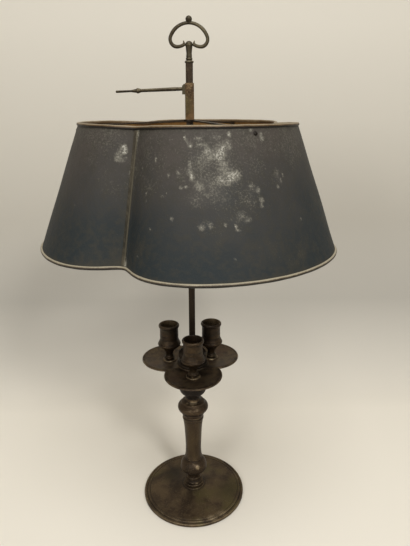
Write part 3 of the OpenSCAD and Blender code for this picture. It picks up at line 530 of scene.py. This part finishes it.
# %% Foot plate
bore = 3.65
collar_z, low_knop_z, column_z, high_knop_z, cup_z = 13, 25, 59, 132, 160
rim_r, line_r, inner_r = 73.6, 69.4, 65.2
hill = np.linspace(0, 1, 13)[1:]
base_line = line_of(
    [[0, 9.5], [16, 9.5], [59.2, 3], [inner_r, 1.5], [inner_r, 0], [rim_r - 0.8, 0],
     [rim_r, 0.8]],
    arc(rim_r - 1.2, 2, 1.2, 2.2, 0, 90),
    [[line_r + 0.5, 4.2], [line_r, 3.5], [line_r - 0.5, 4.2]],
    arc(inner_r + 2, 4.2, 1.6, 0.9, 0, 90),
    [[inner_r + 0.5, 5.1], [inner_r, 4.5], [inner_r - 0.5, 5.1]],
    np.stack([inner_r - 0.5 - (inner_r - 16.25) * hill,
              5.1 + 7.1 * (0.6 * hill ** 2 + 0.4 * hill)], 1),
    [[15.75, 13], [0, 13]])
piece("foot_plate", "lamp", "base_brass", ["base_plate"], [base_brass],
      turned(base_line, bore=bore, around=256, cut=0.6))

# %% Collar and lower knop
collar_r, neck_r, foot_r = 13.75, 9.3, 12.9
collar_line = line_of(
    [[0, 0], [collar_r - 0.6, 0]], arc(collar_r - 1.6, 1.9, 1.6, 1.9, -50, 90),
    arc(collar_r - 2.6, 6.2, 1.9, 2.2, -80, 90), [[10.4, 8.8], [9.9, 12], [0, 12]])
piece("stem_collar", "lamp", "stem_brass", ["foot_collar"], [stem_brass],
      turned(collar_line, collar_z, bore))

knop_r = 19.3
low_knop_line = line_of(
    [[0, 0], [10.1, 0], [10.1, 0.6], [neck_r, 1.8], [neck_r, 12.6], [10.5, 14],
     [knop_r - 3.4, 15]],
    arc(knop_r - 2.2, 17.6, 2.2, 2.5, -78, 20),
    arc(foot_r - 3, 19.4, knop_r - foot_r + 2.8, 12.4, 8, 62, 12),
    [[foot_r - 0.4, 31.4], [foot_r - 1.4, 32.2], [foot_r - 1.8, 34], [0, 34]])
piece("stem_knop_low", "lamp", "stem_brass", ["lower_knop"], [stem_brass],
      turned(low_knop_line, low_knop_z, bore))

# %% Column
shaft_r, capital_r, top = 11.2, 15, 73
column_line = line_of(
    [[0, 0], [foot_r - 0.4, 0]], arc(foot_r - 0.8, 1.2, 0.8, 1.2, -60, 70, 4),
    [[foot_r - 0.9, 4.6], [foot_r - 1.4, 7.6], [shaft_r + 0.1, 11.6], [shaft_r - 0.1, 16],
     [shaft_r, top - 50], [shaft_r + 0.3, top - 42], [shaft_r + 0.7, top - 32],
     [shaft_r + 1.3, top - 22], [shaft_r + 2, top - 14], [shaft_r + 2.6, top - 10.6],
     [shaft_r + 2.3, top - 10], [shaft_r + 2.8, top - 9.4], [shaft_r + 2.6, top - 8.6]],
    arc(capital_r - 1.2, top - 5, 1.2, 1.9, -90, 80),
    [[capital_r - 1.1, top - 2.6], [capital_r - 0.5, top - 2], [capital_r - 0.7, top],
     [0, top]])
piece("stem_column", "lamp", "stem_brass", ["column"], [column_brass],
      turned(column_line, column_z, bore, cut=1.5))

# %% Upper knop
knop_r, neck_r = 21.4, 10.6
up_knop_line = line_of(
    [[0, 0], [14.8, 0], [14.8, 1.4], [15.3, 2]], arc(knop_r - 6.6, 4, 1.6, 1.5, -60, 60),
    arc(knop_r - 7, 12.8, 7, 6.4, -62, 50, 14),
    [[knop_r - 3.4, 18.6], [knop_r - 4.2, 19.2]],
    arc(neck_r + 1.6, 20.2, 4.2, 2.6, 0, 80),
    [[neck_r + 0.4, 23.8], [neck_r, 25], [neck_r, 28], [0, 28]])
piece("stem_knop_high", "lamp", "stem_brass", ["upper_knop"], [stem_brass],
      turned(up_knop_line, high_knop_z, bore))

# %% Tray cup
cup_r, top = 18.7, 49
cup_line = line_of(
    [[0, 0], [neck_r, 0], [neck_r, 2.8], [neck_r + 0.8, 4.6]],
    arc(cup_r - 7.6, 15, 7.6, 8.8, -58, 0, 10),
    [[cup_r, top - 31], [cup_r - 0.6, top - 29.4], [cup_r, top - 28],
     [cup_r - 1.6, top - 24], [cup_r - 2.4, top - 19], [cup_r - 1.6, top - 12],
     [19, top - 5], [20, top - 4], [20, top], [0, top]])
piece("stem_cup", "lamp", "stem_brass", ["tray_cup"], [shaded_cup_brass],
      turned(cup_line, cup_z, bore, cut=0.8))

# %% [markdown]
# ## Drip tray
# Three round dishes overlap in a trefoil. A point belongs to the dish whose middle is
# nearest, and the floor rises with the square of the distance: h = 4 (d / 36.6)^2. Rows
# of equal d make the lip follow the outline exactly, also round the inward corners.

# %% Lobes of the tray
LOBE_TURNS = {"front": 0, "right": 120, "left": -120}
tray_turn, tray_shift, lobe_at, dish_r = 4, -1.6, 33.4, 36.6


def lobe_middle(turn):
    """Middle of a lobe in plan, turn degrees round from the front one."""
    angle = math.radians(tray_turn + turn)
    return np.array([tray_shift + lobe_at * math.sin(angle), -lobe_at * math.cos(angle)])


def dish(place):
    """Height above a dish's lowest point, and how close the place is to a ridge."""
    far = np.sort(np.stack([np.linalg.norm(place - lobe_middle(turn), axis=-1)
                            for turn in LOBE_TURNS.values()]), axis=0)
    apart = far[1] - far[0]
    near = far[0] - 0.8 * np.exp(-apart / 1.6)
    return 4 * (near / dish_r) ** 2, np.exp(-apart / 2.2)


def trefoil(distance, angle):
    """Plan points at that distance from the nearest lobe's middle, one for each angle:
    along the ray, r = c cos d + sqrt(distance^2 - c^2 sin^2 d)."""
    third = 2 * math.pi / 3
    off = (angle - math.radians(tray_turn) + math.pi / 3) % third - math.pi / 3
    ray = lobe_at * np.cos(off) + np.sqrt(distance ** 2 - (lobe_at * np.sin(off)) ** 2)
    return np.stack([tray_shift + ray * np.sin(angle), -ray * np.cos(angle)], -1)


print("lobe middles:", {where: lobe_middle(turn).round(1).tolist()
                        for where, turn in LOBE_TURNS.items()})

# %% Drip tray
# Rows run from the middle over the dish, round the lip and back underneath. Each is its
# plan, its height (None: on the dish) and how far it stands above the dish's underside.
tray_low, tray_thick, lip_z, lip_r, seat_z = 209, 2, 213.6, 1.4, 212.8
fan_r = 30  # inside the outline at this distance the rows shrink to the tray's middle
angle = np.linspace(0, 2 * math.pi, 360, endpoint=False)
middle = np.array([tray_shift, 0])
inside = trefoil(fan_r, angle)
rows = []
for share in np.linspace(0, 1, 52)[:-1]:
    rows.append((middle + (inside - middle) * share, None, tray_thick))
for distance in np.linspace(fan_r, 35.2, 12):
    rows.append((trefoil(distance, angle), None, tray_thick))
for t in np.radians(np.linspace(165, -100, 16)):
    rows.append((trefoil(dish_r + lip_r * math.cos(t), angle),
                 lip_z + lip_r * math.sin(t), 0))
for distance in np.linspace(35.4, fan_r, 10):
    rows.append((trefoil(distance, angle), None, 0))
for share in np.linspace(1, 0, 14)[1:]:
    rows.append((middle + (inside - middle) * share, None, 0))
grid = np.empty((len(rows), len(angle), 3))
tray_relief = np.zeros(grid.shape[:2])
for row, (plan, height, thick) in enumerate(rows):
    rise, ridge = dish(plan)
    grid[row, :, :2] = plan
    grid[row, :, 2] = tray_low + thick + rise if height is None else height
    tray_relief[row] = ridge * 0.8 if height is None else 0.55
tray_skins = [skin(grid, tray_relief)]
for turn in LOBE_TURNS.values():
    seat = [[0, 210], [9.6, 210], [9.6, 212.1], [8.9, seat_z], [7.4, seat_z], [0, 212.75]]
    tray_skins.append(turned(seat, middle=lobe_middle(turn), around=96))
hub_z = 213.8
boss = [[0, 207], [22, 207], [22, 213.1], [21.4, hub_z], [0, hub_z]]
tray_skins.append(turned(boss, bore=bore))
piece("trefoil_tray", "lamp", "tray_brass", ["drip_tray"], [tray_brass], *tray_skins)

# %% [markdown]
# ## Candle sockets and hub
# Each socket is turned in one piece with the tenon that holds it in the tray, and the hub
# covers the end of the tie rod and carries the square rod. One outline makes all three
# sockets. The wall of a candle's hole is marked with a high wear number, so that it
# shows pale metal: painted light inside the hole.

# %% Candle sockets
tall, hole_r, hole_deep = 52.2, 11.3, 30
body_r, rim_r, ring_r, neck_r, foot_r = 12.8, 14.1, 15.7, 4.8, 6.8
socket_line = line_of(
    [[0, -7.8], [2.1, -7.8], [2.5, -7.4], [2.5, 0], [foot_r - 0.8, 0], [foot_r - 1, 1.6]],
    arc(foot_r - 0.4, 2.9, 0.8, 1, -60, 90, 6),
    [[neck_r + 1.1, 4.4], [neck_r + 0.4, 6], [neck_r + 0.2, 8.4],
     [neck_r + 0.8, tall - 41], [neck_r + 2.6, tall - 38.2], [ring_r - 5.4, tall - 35],
     [ring_r - 2.9, tall - 32.5]],
    arc(ring_r - 2.6, tall - 29, 2.6, 2.8, -70, 55),
    [[body_r + 1.3, tall - 25], [body_r + 0.5, tall - 23.4], [body_r + 0.1, tall - 22],
     [body_r - 0.2, tall - 21], [body_r - 0.5, tall - 20.5],
     [body_r - 0.2, tall - 20], [body_r - 0.1, tall - 15.4], [body_r - 0.5, tall - 14.9],
     [body_r - 0.2, tall - 14.4], [body_r - 0.3, tall - 6.6], [body_r + 0.1, tall - 5.6],
     [body_r - 0.1, tall - 4.9]],
    arc(rim_r - 1.5, tall - 2.3, 1.5, 2.3, -68, 90, 10),
    [[12.1, tall], [hole_r, tall - 0.8], [hole_r, tall - hole_deep],
     [0, tall - hole_deep]])
for where, turn in LOBE_TURNS.items():
    made = turned(socket_line, seat_z, middle=lobe_middle(turn))
    far = np.linalg.norm(made["points"][:, :2] - lobe_middle(turn), axis=1)
    # Painted light: the wall of the hole gets pale metal.
    in_hole = made["points"][:, 2] > seat_z + tall - hole_deep + 1
    made["marks"][:, 1] = 1.2 * ((far < hole_r + 0.05) & in_hole)
    piece("socket_" + where, "lamp", "socket_brass", ["candle_socket_" + where],
          [socket_brass], made)

# %% Rod hub
hub_r, foot_r, half, rod_bore = 18.8, 20.5, 4.1, 2.65
hub_line = line_of(
    [[0, 0], [foot_r - 0.6, 0]], arc(foot_r - 1.2, 1.3, 1.2, 1.3, -60, 90, 6),
    [[hub_r - 2.4, 3.4], [hub_r - 3.8, 5.4]], arc(hub_r - 8.8, 13, 8.8, 8, -58, 62, 14),
    [[hub_r - 5, 21.2]], arc(half + 4.2, 22.6, 5.2, 4.4, 0, 88),
    [[half + 3.4, 29], [half + 2.4, 31.5], [half + 2.2, 32.5], [0, 32.5]])
piece("hub_dome", "lamp", "tray_brass", ["rod_hub"], [hub_brass],
      turned(hub_line, hub_z, rod_bore))

# %% [markdown]
# ## Rod, slide tube, key and handle
# The rod and the tube that slides on it are square with eased corners. The key is turned,
# slightly bent, and beaten flat at its tail. The handle's loop is three arcs a side that
# meet without a corner, and their radii follow from its height and width.

# %% Square pieces
def squared(line, corner, low=0.0, ring=False):
    """An outline of (half width, height) carried round a square whose corners are
    quarter circles: the point is (half - c) (sx, sy) + c (cos t, sin t)."""
    line = eased(line_of(line), 0.3)
    t = np.radians(np.concatenate([np.linspace(k, k + 90, 7) for k in (0, 90, 180, 270)]))
    sign = np.repeat([[1, 1], [-1, 1], [-1, -1], [1, -1]], 7, axis=0)
    half = line[:, :1, None]
    inner = np.maximum(half - corner, 0) * sign + np.minimum(half, corner) * np.stack(
        [np.cos(t), np.sin(t)], 1)
    height = np.broadcast_to(low + line[:, 1:, None], (*inner.shape[:2], 1))
    edge = np.abs(np.sin(2 * t)) * 0.9
    return skin(np.concatenate([inner, height], 2), ring=ring,
                relief=np.maximum(edge, crests(line)[:, None]))


rod_low, rod_high = 246.3, 591.5


def tenon(radius, low, high):
    """A plain round pin at an end of the rod."""
    return turned([[0, low], [radius, low], [radius, high], [0, high]], around=48)


piece("rod", "lamp", "rod_metal", ["square_rod"], [rod_metal],
      squared([[0, rod_low], [half, rod_low], [half, rod_high], [0, rod_high]], 0.7),
      tenon(2.5, rod_low - 12, rod_low + 1), tenon(2, rod_high - 1, rod_high + 8))
tube_in = half + 0.1
tube_out, tube_low, tube_len = tube_in + 0.95, 531, 39.5
piece("slide", "shade", "tube_brass", ["slide_tube"], [tube_brass],
      squared([[tube_out, 0], [tube_out, tube_len], [tube_in, tube_len], [tube_in, 0]],
              0.8, tube_low, ring=True))

# %% Screw key
key_start, key_z, key_lean, key_len, key_end = -8.4, 564.5, math.radians(2.4), 50.4, 75.4
shank = line_of(
    [[0, -3.25], [2, -3.25], [2, 7], [2.15, 7.4], [1.95, 24], [1.8, key_len - 3],
     [2.4, key_len - 2.6], [2.4, key_len - 1.6], [1.9, key_len - 1.5]],
    arc(0, key_len, 2.9, 2.9, -58, 52, 10),
    [[2.1, key_len + 2.6], [2.3, key_len + 8], [2.8, key_end - 1], [2.3, key_end],
     [0, key_end]])
shank = eased(shank, 0.35)
far = shank[:, 1:]
flat = 1 - 0.5 * np.clip((far - key_len - 2.5) / 5, 0, 1)
t = np.linspace(0, 2 * math.pi, 40, endpoint=False)
bent = np.where(far > 0, key_lean, 0)
key_grid = np.stack([
    key_start - far * np.cos(bent) - shank[:, :1] * flat * np.sin(t) * np.sin(bent),
    shank[:, :1] * np.cos(t) + 0 * far,
    key_z - far * np.sin(bent) + shank[:, :1] * flat * np.sin(t) * np.cos(bent)], 2)
# The key's top is painted pale and its underside dark: painted highlight and painted
# shade.
piece("key", "key", "key_steel", ["arrow_key"], [key_steel],
      skin(key_grid, crests(shank)[:, None] + 0.3 + 0.9 * np.sin(t)))

# %% Handle
loop_low, loop_high, loop_half, bend_r, return_r = 608.3, 632.4, 20.8, 7.6, 14.2
bend_x, bend_z = loop_half - bend_r, loop_low + bend_r
rise = loop_high - bend_z
arch_r = (rise ** 2 + bend_x ** 2 - bend_r ** 2) / (2 * (rise - bend_r))
arch_z = loop_high - arch_r
meet = math.degrees(math.atan2(bend_z - arch_z, bend_x))
right_half = line_of(arc(bend_x, loop_low + return_r, return_r, return_r, -128, -90, 12),
                     arc(bend_x, bend_z, bend_r, bend_r, -90, meet, 30)[1:],
                     arc(0, arch_z, arch_r, arch_r, meet, 90, 24)[1:])
loop = np.concatenate([right_half, right_half[-2::-1] * [-1, 1]])
path = np.stack([loop[:, 0], 0 * loop[:, 0], loop[:, 1]], 1)
t = np.linspace(0, 2 * math.pi, 24, endpoint=False)
ring = np.stack([np.cos(t), np.sin(t)], 1)
thick = 1.8 + 0.22 * np.exp(-((np.abs(path[:, 0]) - 17) / 5) ** 2)
bar = swept(path, thick[:, None, None] * ring)
# The loop's front and back faces are painted pale and its inner and outer edges dark:
# painted highlight and painted shade.
handle_skins = [skin(bar, 1.3 * np.abs(np.sin(t)) - 0.6, caps=True)]
for side in (-1, 1):
    spur = np.array([[5.2, 610.2], [5.55, 612], [5.9, 613.6], [6.1, 614.6]])
    spur = np.stack([side * spur[:, 0], 0 * spur[:, 0], spur[:, 1]], 1)
    handle_skins.append(skin(swept(spur, np.array([1.6, 1.2, 0.75, 0.35])[:, None, None]
                                   * ring), 0.8, caps=True))
neck = 3.05
handle_line = line_of(
    [[0, 0], [4.5, 0], [5, 0.5], [5, 1.9], [4.5, 2.4], [3.1, 2.7]],
    arc(2.2, 4.4, 1.6, 1.7, -60, 60),
    [[neck + 0.3, 6.4], [neck, 10], [neck + 0.3, 13], [neck + 0.7, 16.4]],
    arc(2.3, 18.4, 2, 1.6, -40, 20, 4), arc(0, 19, 4.1, 3.8, 15, 90))
handle_skins.append(turned(handle_line, rod_high, around=96))
piece("handle_loop", "lamp", "handle_brass", ["handle"], [handle_brass], *handle_skins)
ball_r = 3.6
piece("ball", "lamp", "handle_brass", ["ball_finial"], [handle_brass],
      turned(arc(0, loop_high + ball_r, ball_r, ball_r, -90, 90, 24), around=64))

# %% [markdown]
# ## Shade
# The wall is ruled between two lobed outlines. Three pinches cut into them, and each
# fades with the angle d from it as p = exp(-(sqrt(d^2 + 6^2) - 6) / 10), so the bottom
# radius is 179.5 - 40 p and the top radius 127 - 22.5 p. Slight dents keep the sheet
# from looking drawn with a ruler; they die out at the wired edges.

# %% Wall of the shade
PINCHES = (-30, 100, 214)
SHADE_LOW, SHADE_HIGH = 389, 527
SHEET = 0.8


def pinch(a):
    """1 in the bottom of a pinch, falling to 0 beside it."""
    away = np.min([np.abs((a - p + 180) % 360 - 180) for p in PINCHES], axis=0)
    return np.exp(-(np.sqrt(away ** 2 + 36) - 6) / 10)


def rim_height(a):
    """Height of the upper edge, which dips a little at the pinches."""
    return SHADE_HIGH - 2 * pinch(a)


def wall(a, z, out=0.0):
    """Point on the sheet's outside, moved outward: (r sin a, -r cos a, z)."""
    share = (z - SHADE_LOW) / (SHADE_HIGH - SHADE_LOW)
    radius = (179.5 - 40 * pinch(a)) * (1 - share) + (127 - 22.5 * pinch(a)) * share
    angle = np.radians(a)
    radius = radius + out
    return np.stack([radius * np.sin(angle), -radius * np.cos(angle), z + 0 * radius], -1)


def dents(a, z):
    """Soft waves of about 0.3 mm that die out at the rims and the seams."""
    turn, up = np.radians(a), z / 100
    wave = (np.sin(7 * turn + 4.1 * up) * np.sin(3.7 * up - 2 * turn)
            + 0.7 * np.sin(13 * turn - 6.3 * up + 1)
            + 0.5 * np.sin(23 * turn + 9 * up + 2))
    rim = (np.clip((z - SHADE_LOW - 3) / 20, 0, 1)
           * np.clip((rim_height(a) - 3 - z) / 20, 0, 1))
    return 0.22 * wave * rim * (1 - pinch(a)) ** 2


print("bottom radius at a pinch:", round(float(np.linalg.norm(
    wall(PINCHES[0], SHADE_LOW)[:2])), 1), "mm")

# %% Worn places
# Worn places: angle, height, half width, half height, strength; sizes in millimetres.
# A weak wide place comes out as scattered specks and a strong one as a bare patch. Below
# 0
# is painted shade: the notch at the left seam's top, the band along that seam and the
# open rivet hole.
WEAR_AND_SHADE_SPOTS = np.array([
    (-35, 505.8, 2.6, 3.2, 2.4), (-34.2, 502.6, 2.4, 2.2, 1.6),
    (-36.5, 502, 4.6, 5.5, 0.8), (-37.5, 496, 3.4, 3.4, 0.6), (-35.2, 494, 4, 2.2, 0.8),
    (-33.6, 496.5, 1.6, 1.4, 1), (-31.3, 482.3, 0.9, 2.6, 0.9),
    (-34.5, 470.2, 0.7, 0.8, 1), (-28.6, 520, 3, 5, 0.8), (-14.6, 496.5, 1.1, 3, 0.9),
    (-14.6, 499.5, 1.6, 1.6, 0.5), (-22.1, 488.8, 1.8, 1.8, 0.55),
    (-8.5, 484.8, 1.8, 1.8, 0.8), (-4.8, 486.8, 1.4, 2, 0.7),
    (-3.6, 473.8, 1.5, 1.5, 0.9), (-1.7, 474.8, 1.5, 1.2, 0.85),
    (-18.3, 466, 1.6, 1.8, 0.8), (-17.8, 459.8, 1, 2, 0.6), (-9, 469.2, 0.5, 0.6, 2.2),
    (-10.5, 466, 4, 2, 0.4), (-6.6, 446.5, 1.8, 2.4, 0.85), (-15, 435.5, 1, 1.6, 0.8),
    (-20.2, 408.1, 1.5, 0.9, 1.1), (-8, 516.5, 3, 0.7, 0.8),
    (-2.2, 517.6, 1.3, 1.8, 1.5), (-1.2, 514.6, 1.3, 2, 1.2), (0, 511, 1.9, 1.9, 1.6),
    (3.2, 517, 4.6, 1.6, 0.75), (4.4, 511.6, 5, 1.4, 0.7), (7, 507, 4, 3, 0.55),
    (10.5, 518.5, 6, 1.6, 0.5), (16.4, 520.6, 2, 2.4, 1.2), (15.6, 511, 4, 4.4, 0.8),
    (12.7, 506.8, 4, 4.4, 1.05), (11.6, 499.8, 2.8, 3.6, 1.2), (9.4, 503, 4, 4, 0.75),
    (-0.2, 493, 1.6, 4.4, 0.85), (0.6, 484, 2, 3.6, 1.1), (-0.5, 488, 2.4, 2.6, 0.7),
    (6, 500, 6, 7, 0.5), (3, 476, 4, 3.6, 0.62), (13, 492, 5, 4, 0.6),
    (15.2, 482.9, 4.4, 3.6, 1.3), (17.6, 484.8, 3.4, 3, 1),
    (11.6, 480.5, 4.6, 3.4, 0.75), (3, 497, 12, 22, 0.3), (12, 503, 10, 16, 0.42),
    (15, 483, 11, 8, 0.42), (8, 478, 15, 12, 0.3), (11, 463, 18, 14, 0.3),
    (22, 463, 11, 14, 0.3), (1, 463, 11, 10, 0.28), (34, 477, 9, 9, 0.22),
    (16, 443, 14, 8, 0.26), (4, 442, 9, 6, 0.3), (20, 500, 12, 14, 0.16),
    (-4, 486, 8, 10, 0.22), (-28.9, 393, 2.6, 7, 1.1), (-28.6, 512, 1.6, 12, 0.7),
    (-29.2, 440, 1, 30, 0.35), (-31.5, 524.5, 2.2, 2.4, -1.6), (-33, 460, 3, 60, -0.28),
    (28.6, 520.8, 2.6, 2.6, -1.5), (27.2, 524, 3, 2.2, 0.5),
    (31.5, 519.5, 2.6, 3.4, 0.6), (25.5, 470, 2.8, 2.8, 0.85), (23, 474, 3, 3, 0.55),
    (26, 455.5, 1.9, 1.9, 1), (26.4, 460.5, 2.6, 2.2, 0.8), (39, 481.3, 1.3, 2, 0.8),
    (37.2, 476, 1.6, 2.4, 0.8), (35, 470.8, 1.7, 1.7, 0.8), (36, 484, 5, 6, 0.35),
    (3.6, 439.3, 2.4, 2, 0.75), (6.5, 441, 2, 2.6, 0.6), (11.4, 441.4, 0.8, 1, 1.5),
    (15.1, 439.3, 0.8, 1.4, 1.5), (15.9, 435.8, 2.6, 1, 0.8), (19.7, 444.4, 3, 2, 0.7),
    (17.5, 449, 4, 3, 0.4), (43.5, 437.9, 1.1, 1.8, 0.8), (13.7, 411.5, 1.3, 1.3, 0.75),
    (26.6, 523.6, 2.6, 1, 0.9), (31.8, 516, 3.6, 4, 0.6), (48, 503, 2, 7, 0.35),
    (-52.5, 449, 1.6, 1.2, 0.6)])


def worn(a, z):
    """How far the paint is rubbed through, and below 0 how dark the painted shade is: a
    soft hill for each place of the list. On a shade of mean_r an angle is a width."""
    mean_r = 150
    total = np.zeros(a.shape)
    for angle, height, wide, tall, strength in WEAR_AND_SHADE_SPOTS:
        along = np.radians((a - angle + 180) % 360 - 180) * mean_r / wide
        total += strength * np.exp(-along ** 2 - ((z - height) / tall) ** 2)
    return total


# The count takes wear and painted shade together.
print(len(WEAR_AND_SHADE_SPOTS), "worn places and stains")

# %% Sheets
def panel(start, end, step=0.5, levels=84):
    """A sheet between two seams. Its section is a loop: up the outside and down the
    inside, so the inside's faces can carry the second finish."""
    a = np.linspace(start, end, int((end - start) / step) + 1)[:, None]
    share = np.linspace(0, 1, levels)
    share = np.concatenate([share, share[::-1]])
    z = SHADE_LOW + SHEET + (rim_height(a) - SHEET - SHADE_LOW - SHEET) * share
    a = a + 0 * z
    inside = np.repeat([0, 1], levels)
    points = wall(a, z, dents(a, z) - SHEET * inside)
    near = np.minimum(z - SHADE_LOW, rim_height(a) - z)
    made = skin(points, relief=np.exp(-near / 5) + 0.5 * pinch(a) ** 6, caps=True,
                worn=worn(a, z) * (1 - inside))
    look = np.tile(np.repeat([0, 1], levels), len(points) - 1)
    made["look"] = np.concatenate([look, [0, 0]])
    return made


piece("panel_front", "shade", "tole", ["shade_panel_front"], [tole_outside, tole_inside],
      panel(-30, 100))
piece("panel_back", "shade", "tole", ["shade_panel_back"], [tole_outside, tole_inside],
      panel(100, 214, 0.75))
piece("panel_left", "shade", "tole", ["shade_panel_left"], [tole_outside, tole_inside],
      panel(214, 330))

# %% Wired edges
def bead(high):
    """Tube of 4 mm along an outline, on the middle of the sheet and a little uneven. It
    is painted pale on top and on its outside, worn metal and a painted highlight, and
    dark
    underneath: painted shade."""
    a = np.linspace(0, 360, 720, endpoint=False)
    path = wall(a, rim_height(a) if high else SHADE_LOW + 0 * a, -SHEET / 2)
    turn = np.radians(a)
    thick = 2 + 0.05 * np.sin(17 * turn) + 0.05 * np.sin(41 * turn + 2)
    t = np.linspace(0, 2 * math.pi, 16, endpoint=False)
    section = thick[:, None, None] * np.stack([np.cos(t), np.sin(t)], 1)
    # High on top and on the outside, low underneath: painted highlight and painted shade.
    rubbed = np.maximum(1.5 * np.sin(t) - 0.3, 1.4 * np.cos(t) - 1)
    return skin(swept(path, section, (0, 0, 1), ring=True), ring=True,
                relief=np.tile(rubbed, (len(a), 1)))


piece("wired_edge_top", "shade", "bead_metal", ["top_bead"], [top_bead_paint],
      bead(True))
piece("wired_edge_bottom", "shade", "bead_metal", ["bottom_bead"], [low_bead_paint],
      bead(False))

# %% Lapped seams
def seam(angle):
    """Lapped strip 4.8 wide over a pinch, with a raised fold along one side."""
    fold = np.array([[-2.4, 0.05], [-2.4, 0.35], [-1.9, 0.6], [0.4, 0.6], [0.9, 0.95],
                     [2.1, 0.95], [2.4, 0.6], [2.4, 0.05]])
    section = eased(fold, 0.25, 3)
    clear = 2.2  # leaves room for the wired edges
    z = np.linspace(SHADE_LOW + clear, rim_height(np.float64(angle)) - clear, 40)[:, None]
    radius = np.linalg.norm(wall(angle + 0 * z, z)[..., :2], axis=-1)
    a = angle + np.degrees(section[:, 0] / radius)
    # The raised fold is painted pale: thin worn paint and a painted highlight.
    crest = np.where(section[:, 0] > 0.6, 1.0, -0.8)
    return skin(wall(a, z + 0 * a, section[:, 1]), caps=True,
                relief=np.broadcast_to(crest, a.shape), worn=worn(a, z + 0 * a))


for where, angle in zip(("left", "right", "back"), PINCHES):
    piece("lapped_seam_" + where, "shade", "tole", ["seam_" + where], [seam_paint],
          seam(angle))

# %% [markdown]
# ## Parts kept as measured
# Nuts, tie rod, clamp boss, shoe and spider keep the frame's own meshes. They only get
# a finish, and a small bevel where an edge shows.

# %% Parts kept as measured
for name, looks, edge in (
        ("base_washer", plain_steel, 0.15), ("base_nut", plain_steel, 0.3),
        ("tie_rod", plain_steel, 0), ("socket_nuts", plain_steel, 0.2),
        ("clamp_boss", handle_brass, 0.35), ("clamp_shoe", plain_steel, 0),
        ("spider_hub", spider_iron, 0.3), ("spider_arm_front", spider_iron, 0.2),
        ("spider_arm_back", spider_iron, 0.2), ("spider_arm_left", spider_iron, 0.2),
        ("arm_rivets", rivet_iron, 0.2)):
    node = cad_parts[name]
    node.data.materials.clear()
    node.data.materials.append(looks)
    if edge:
        bevel = node.modifiers.new("bevel", "BEVEL")
        bevel.width, bevel.segments, bevel.limit_method = edge * MM, 2, "ANGLE"
        bevel.angle_limit = math.radians(40)
print("measured parts dressed")

# %% [markdown]
# ## Stage
# A sheet of pale paper lies under the lamp and curves up behind it, as in a studio, so
# no line shows where floor and wall meet. Three soft lamps and a grey sky light it.

# %% The paper
def paper_sweep(width, near, flat, bend, tall, steps=24):
    """Floor, quarter circle of radius bend and wall, drawn out along X. The number
    "along" is the way from the lamp over floor, bend and wall in metres."""
    turn = np.linspace(-math.pi / 2, 0, steps)
    side = np.concatenate([[[near, 0]], np.stack(
        [flat + bend * np.cos(turn), bend + bend * np.sin(turn)], 1),
        [[flat + bend, tall]]])
    along = near + np.concatenate([[0], np.cumsum(
        np.linalg.norm(np.diff(side, axis=0), axis=1))])
    ends = np.array([-width, width])
    points = np.zeros((2, len(side), 3))
    points[..., 0] = ends[:, None]
    points[..., 1:] = side
    rows = np.arange(len(side) - 1)
    quads = np.stack([rows, rows + len(side), rows + len(side) + 1, rows + 1], 1)
    mesh = bpy.data.meshes.new("paper")
    mesh.from_pydata(points.reshape(-1, 3), [], quads.tolist())
    mesh.shade_smooth()
    mesh.attributes.new("along", "FLOAT", "POINT").data.foreach_set(
        "value", np.tile(along, 2).astype(np.float32))
    made = bpy.data.objects.new("paper", mesh)
    bpy.context.scene.collection.objects.link(made)
    return made


paper = paper_sweep(width=3.0, near=-2.5, flat=0.22, bend=0.3, tall=3.0)
print("paper reaches", max(corner[2] for corner in paper.bound_box), "m up the wall")

# %% The paper's look
# Pale where it lies flat, darker where it turns up, and a little paler again above:
# painted fall-off of the light, given as brightness at places in metres along the sheet.
# The sheet is clear from behind, so that it never hides the lamp.
PAPER_PAINTED_FALLOFF = ((0.0, 0.75), (0.2, 0.75), (0.5, 0.4), (1.1, 0.6))
WARM_GREY = (1.07, 1, 0.86)
reach = PAPER_PAINTED_FALLOFF[-1][0]
stops = [(place / reach, [bright * share for share in WARM_GREY])
         for place, bright in PAPER_PAINTED_FALLOFF]
paper_look, paper_shader, paper_place = new_finish("paper")
along = mark_of(paper_place, "along")
tone = along.node("ShaderNodeValToRGB", {"stops": stops}, {0: along * (1 / reach)})
finish(paper_shader, tone, 0.9, gloss=0.2)
behind = paper_place.node("ShaderNodeNewGeometry", output="Backfacing")
join(paper_shader.id_data, 1 - behind, paper_shader.inputs["Alpha"])
paper.data.materials.append(paper_look)
print("paper's tones:", PAPER_PAINTED_FALLOFF)

# %% The lamps
LAMP_TARGET = Vector((0, 0, 0.3))


def soft_lamp(name, place, size, power):
    """A square lamp of that size in metres and power in watts, turned to the lamp's
    middle."""
    data = bpy.data.lights.new(name, "AREA")
    data.size, data.energy = size, power
    made = bpy.data.objects.new(name, data)
    bpy.context.scene.collection.objects.link(made)
    made.location = place
    made.rotation_euler = (made.location - LAMP_TARGET).to_track_quat("Z", "Y").to_euler()


soft_lamp("lamp_over", (0.03, -0.7, 1.8), 0.8, 15)
soft_lamp("lamp_right", (0.62, -1.35, 1.45), 0.3, 11.5)
soft_lamp("lamp_left", (-0.8, -1.5, 0.8), 0.5, 6)
sky = bpy.data.worlds.new("sky")
sky.use_nodes = True
sky_light = sky.node_tree.nodes["Background"]
sky_light.inputs["Color"].default_value = (1, 1, 1, 1)
sky_light.inputs["Strength"].default_value = 0.35
bpy.context.scene.world = sky
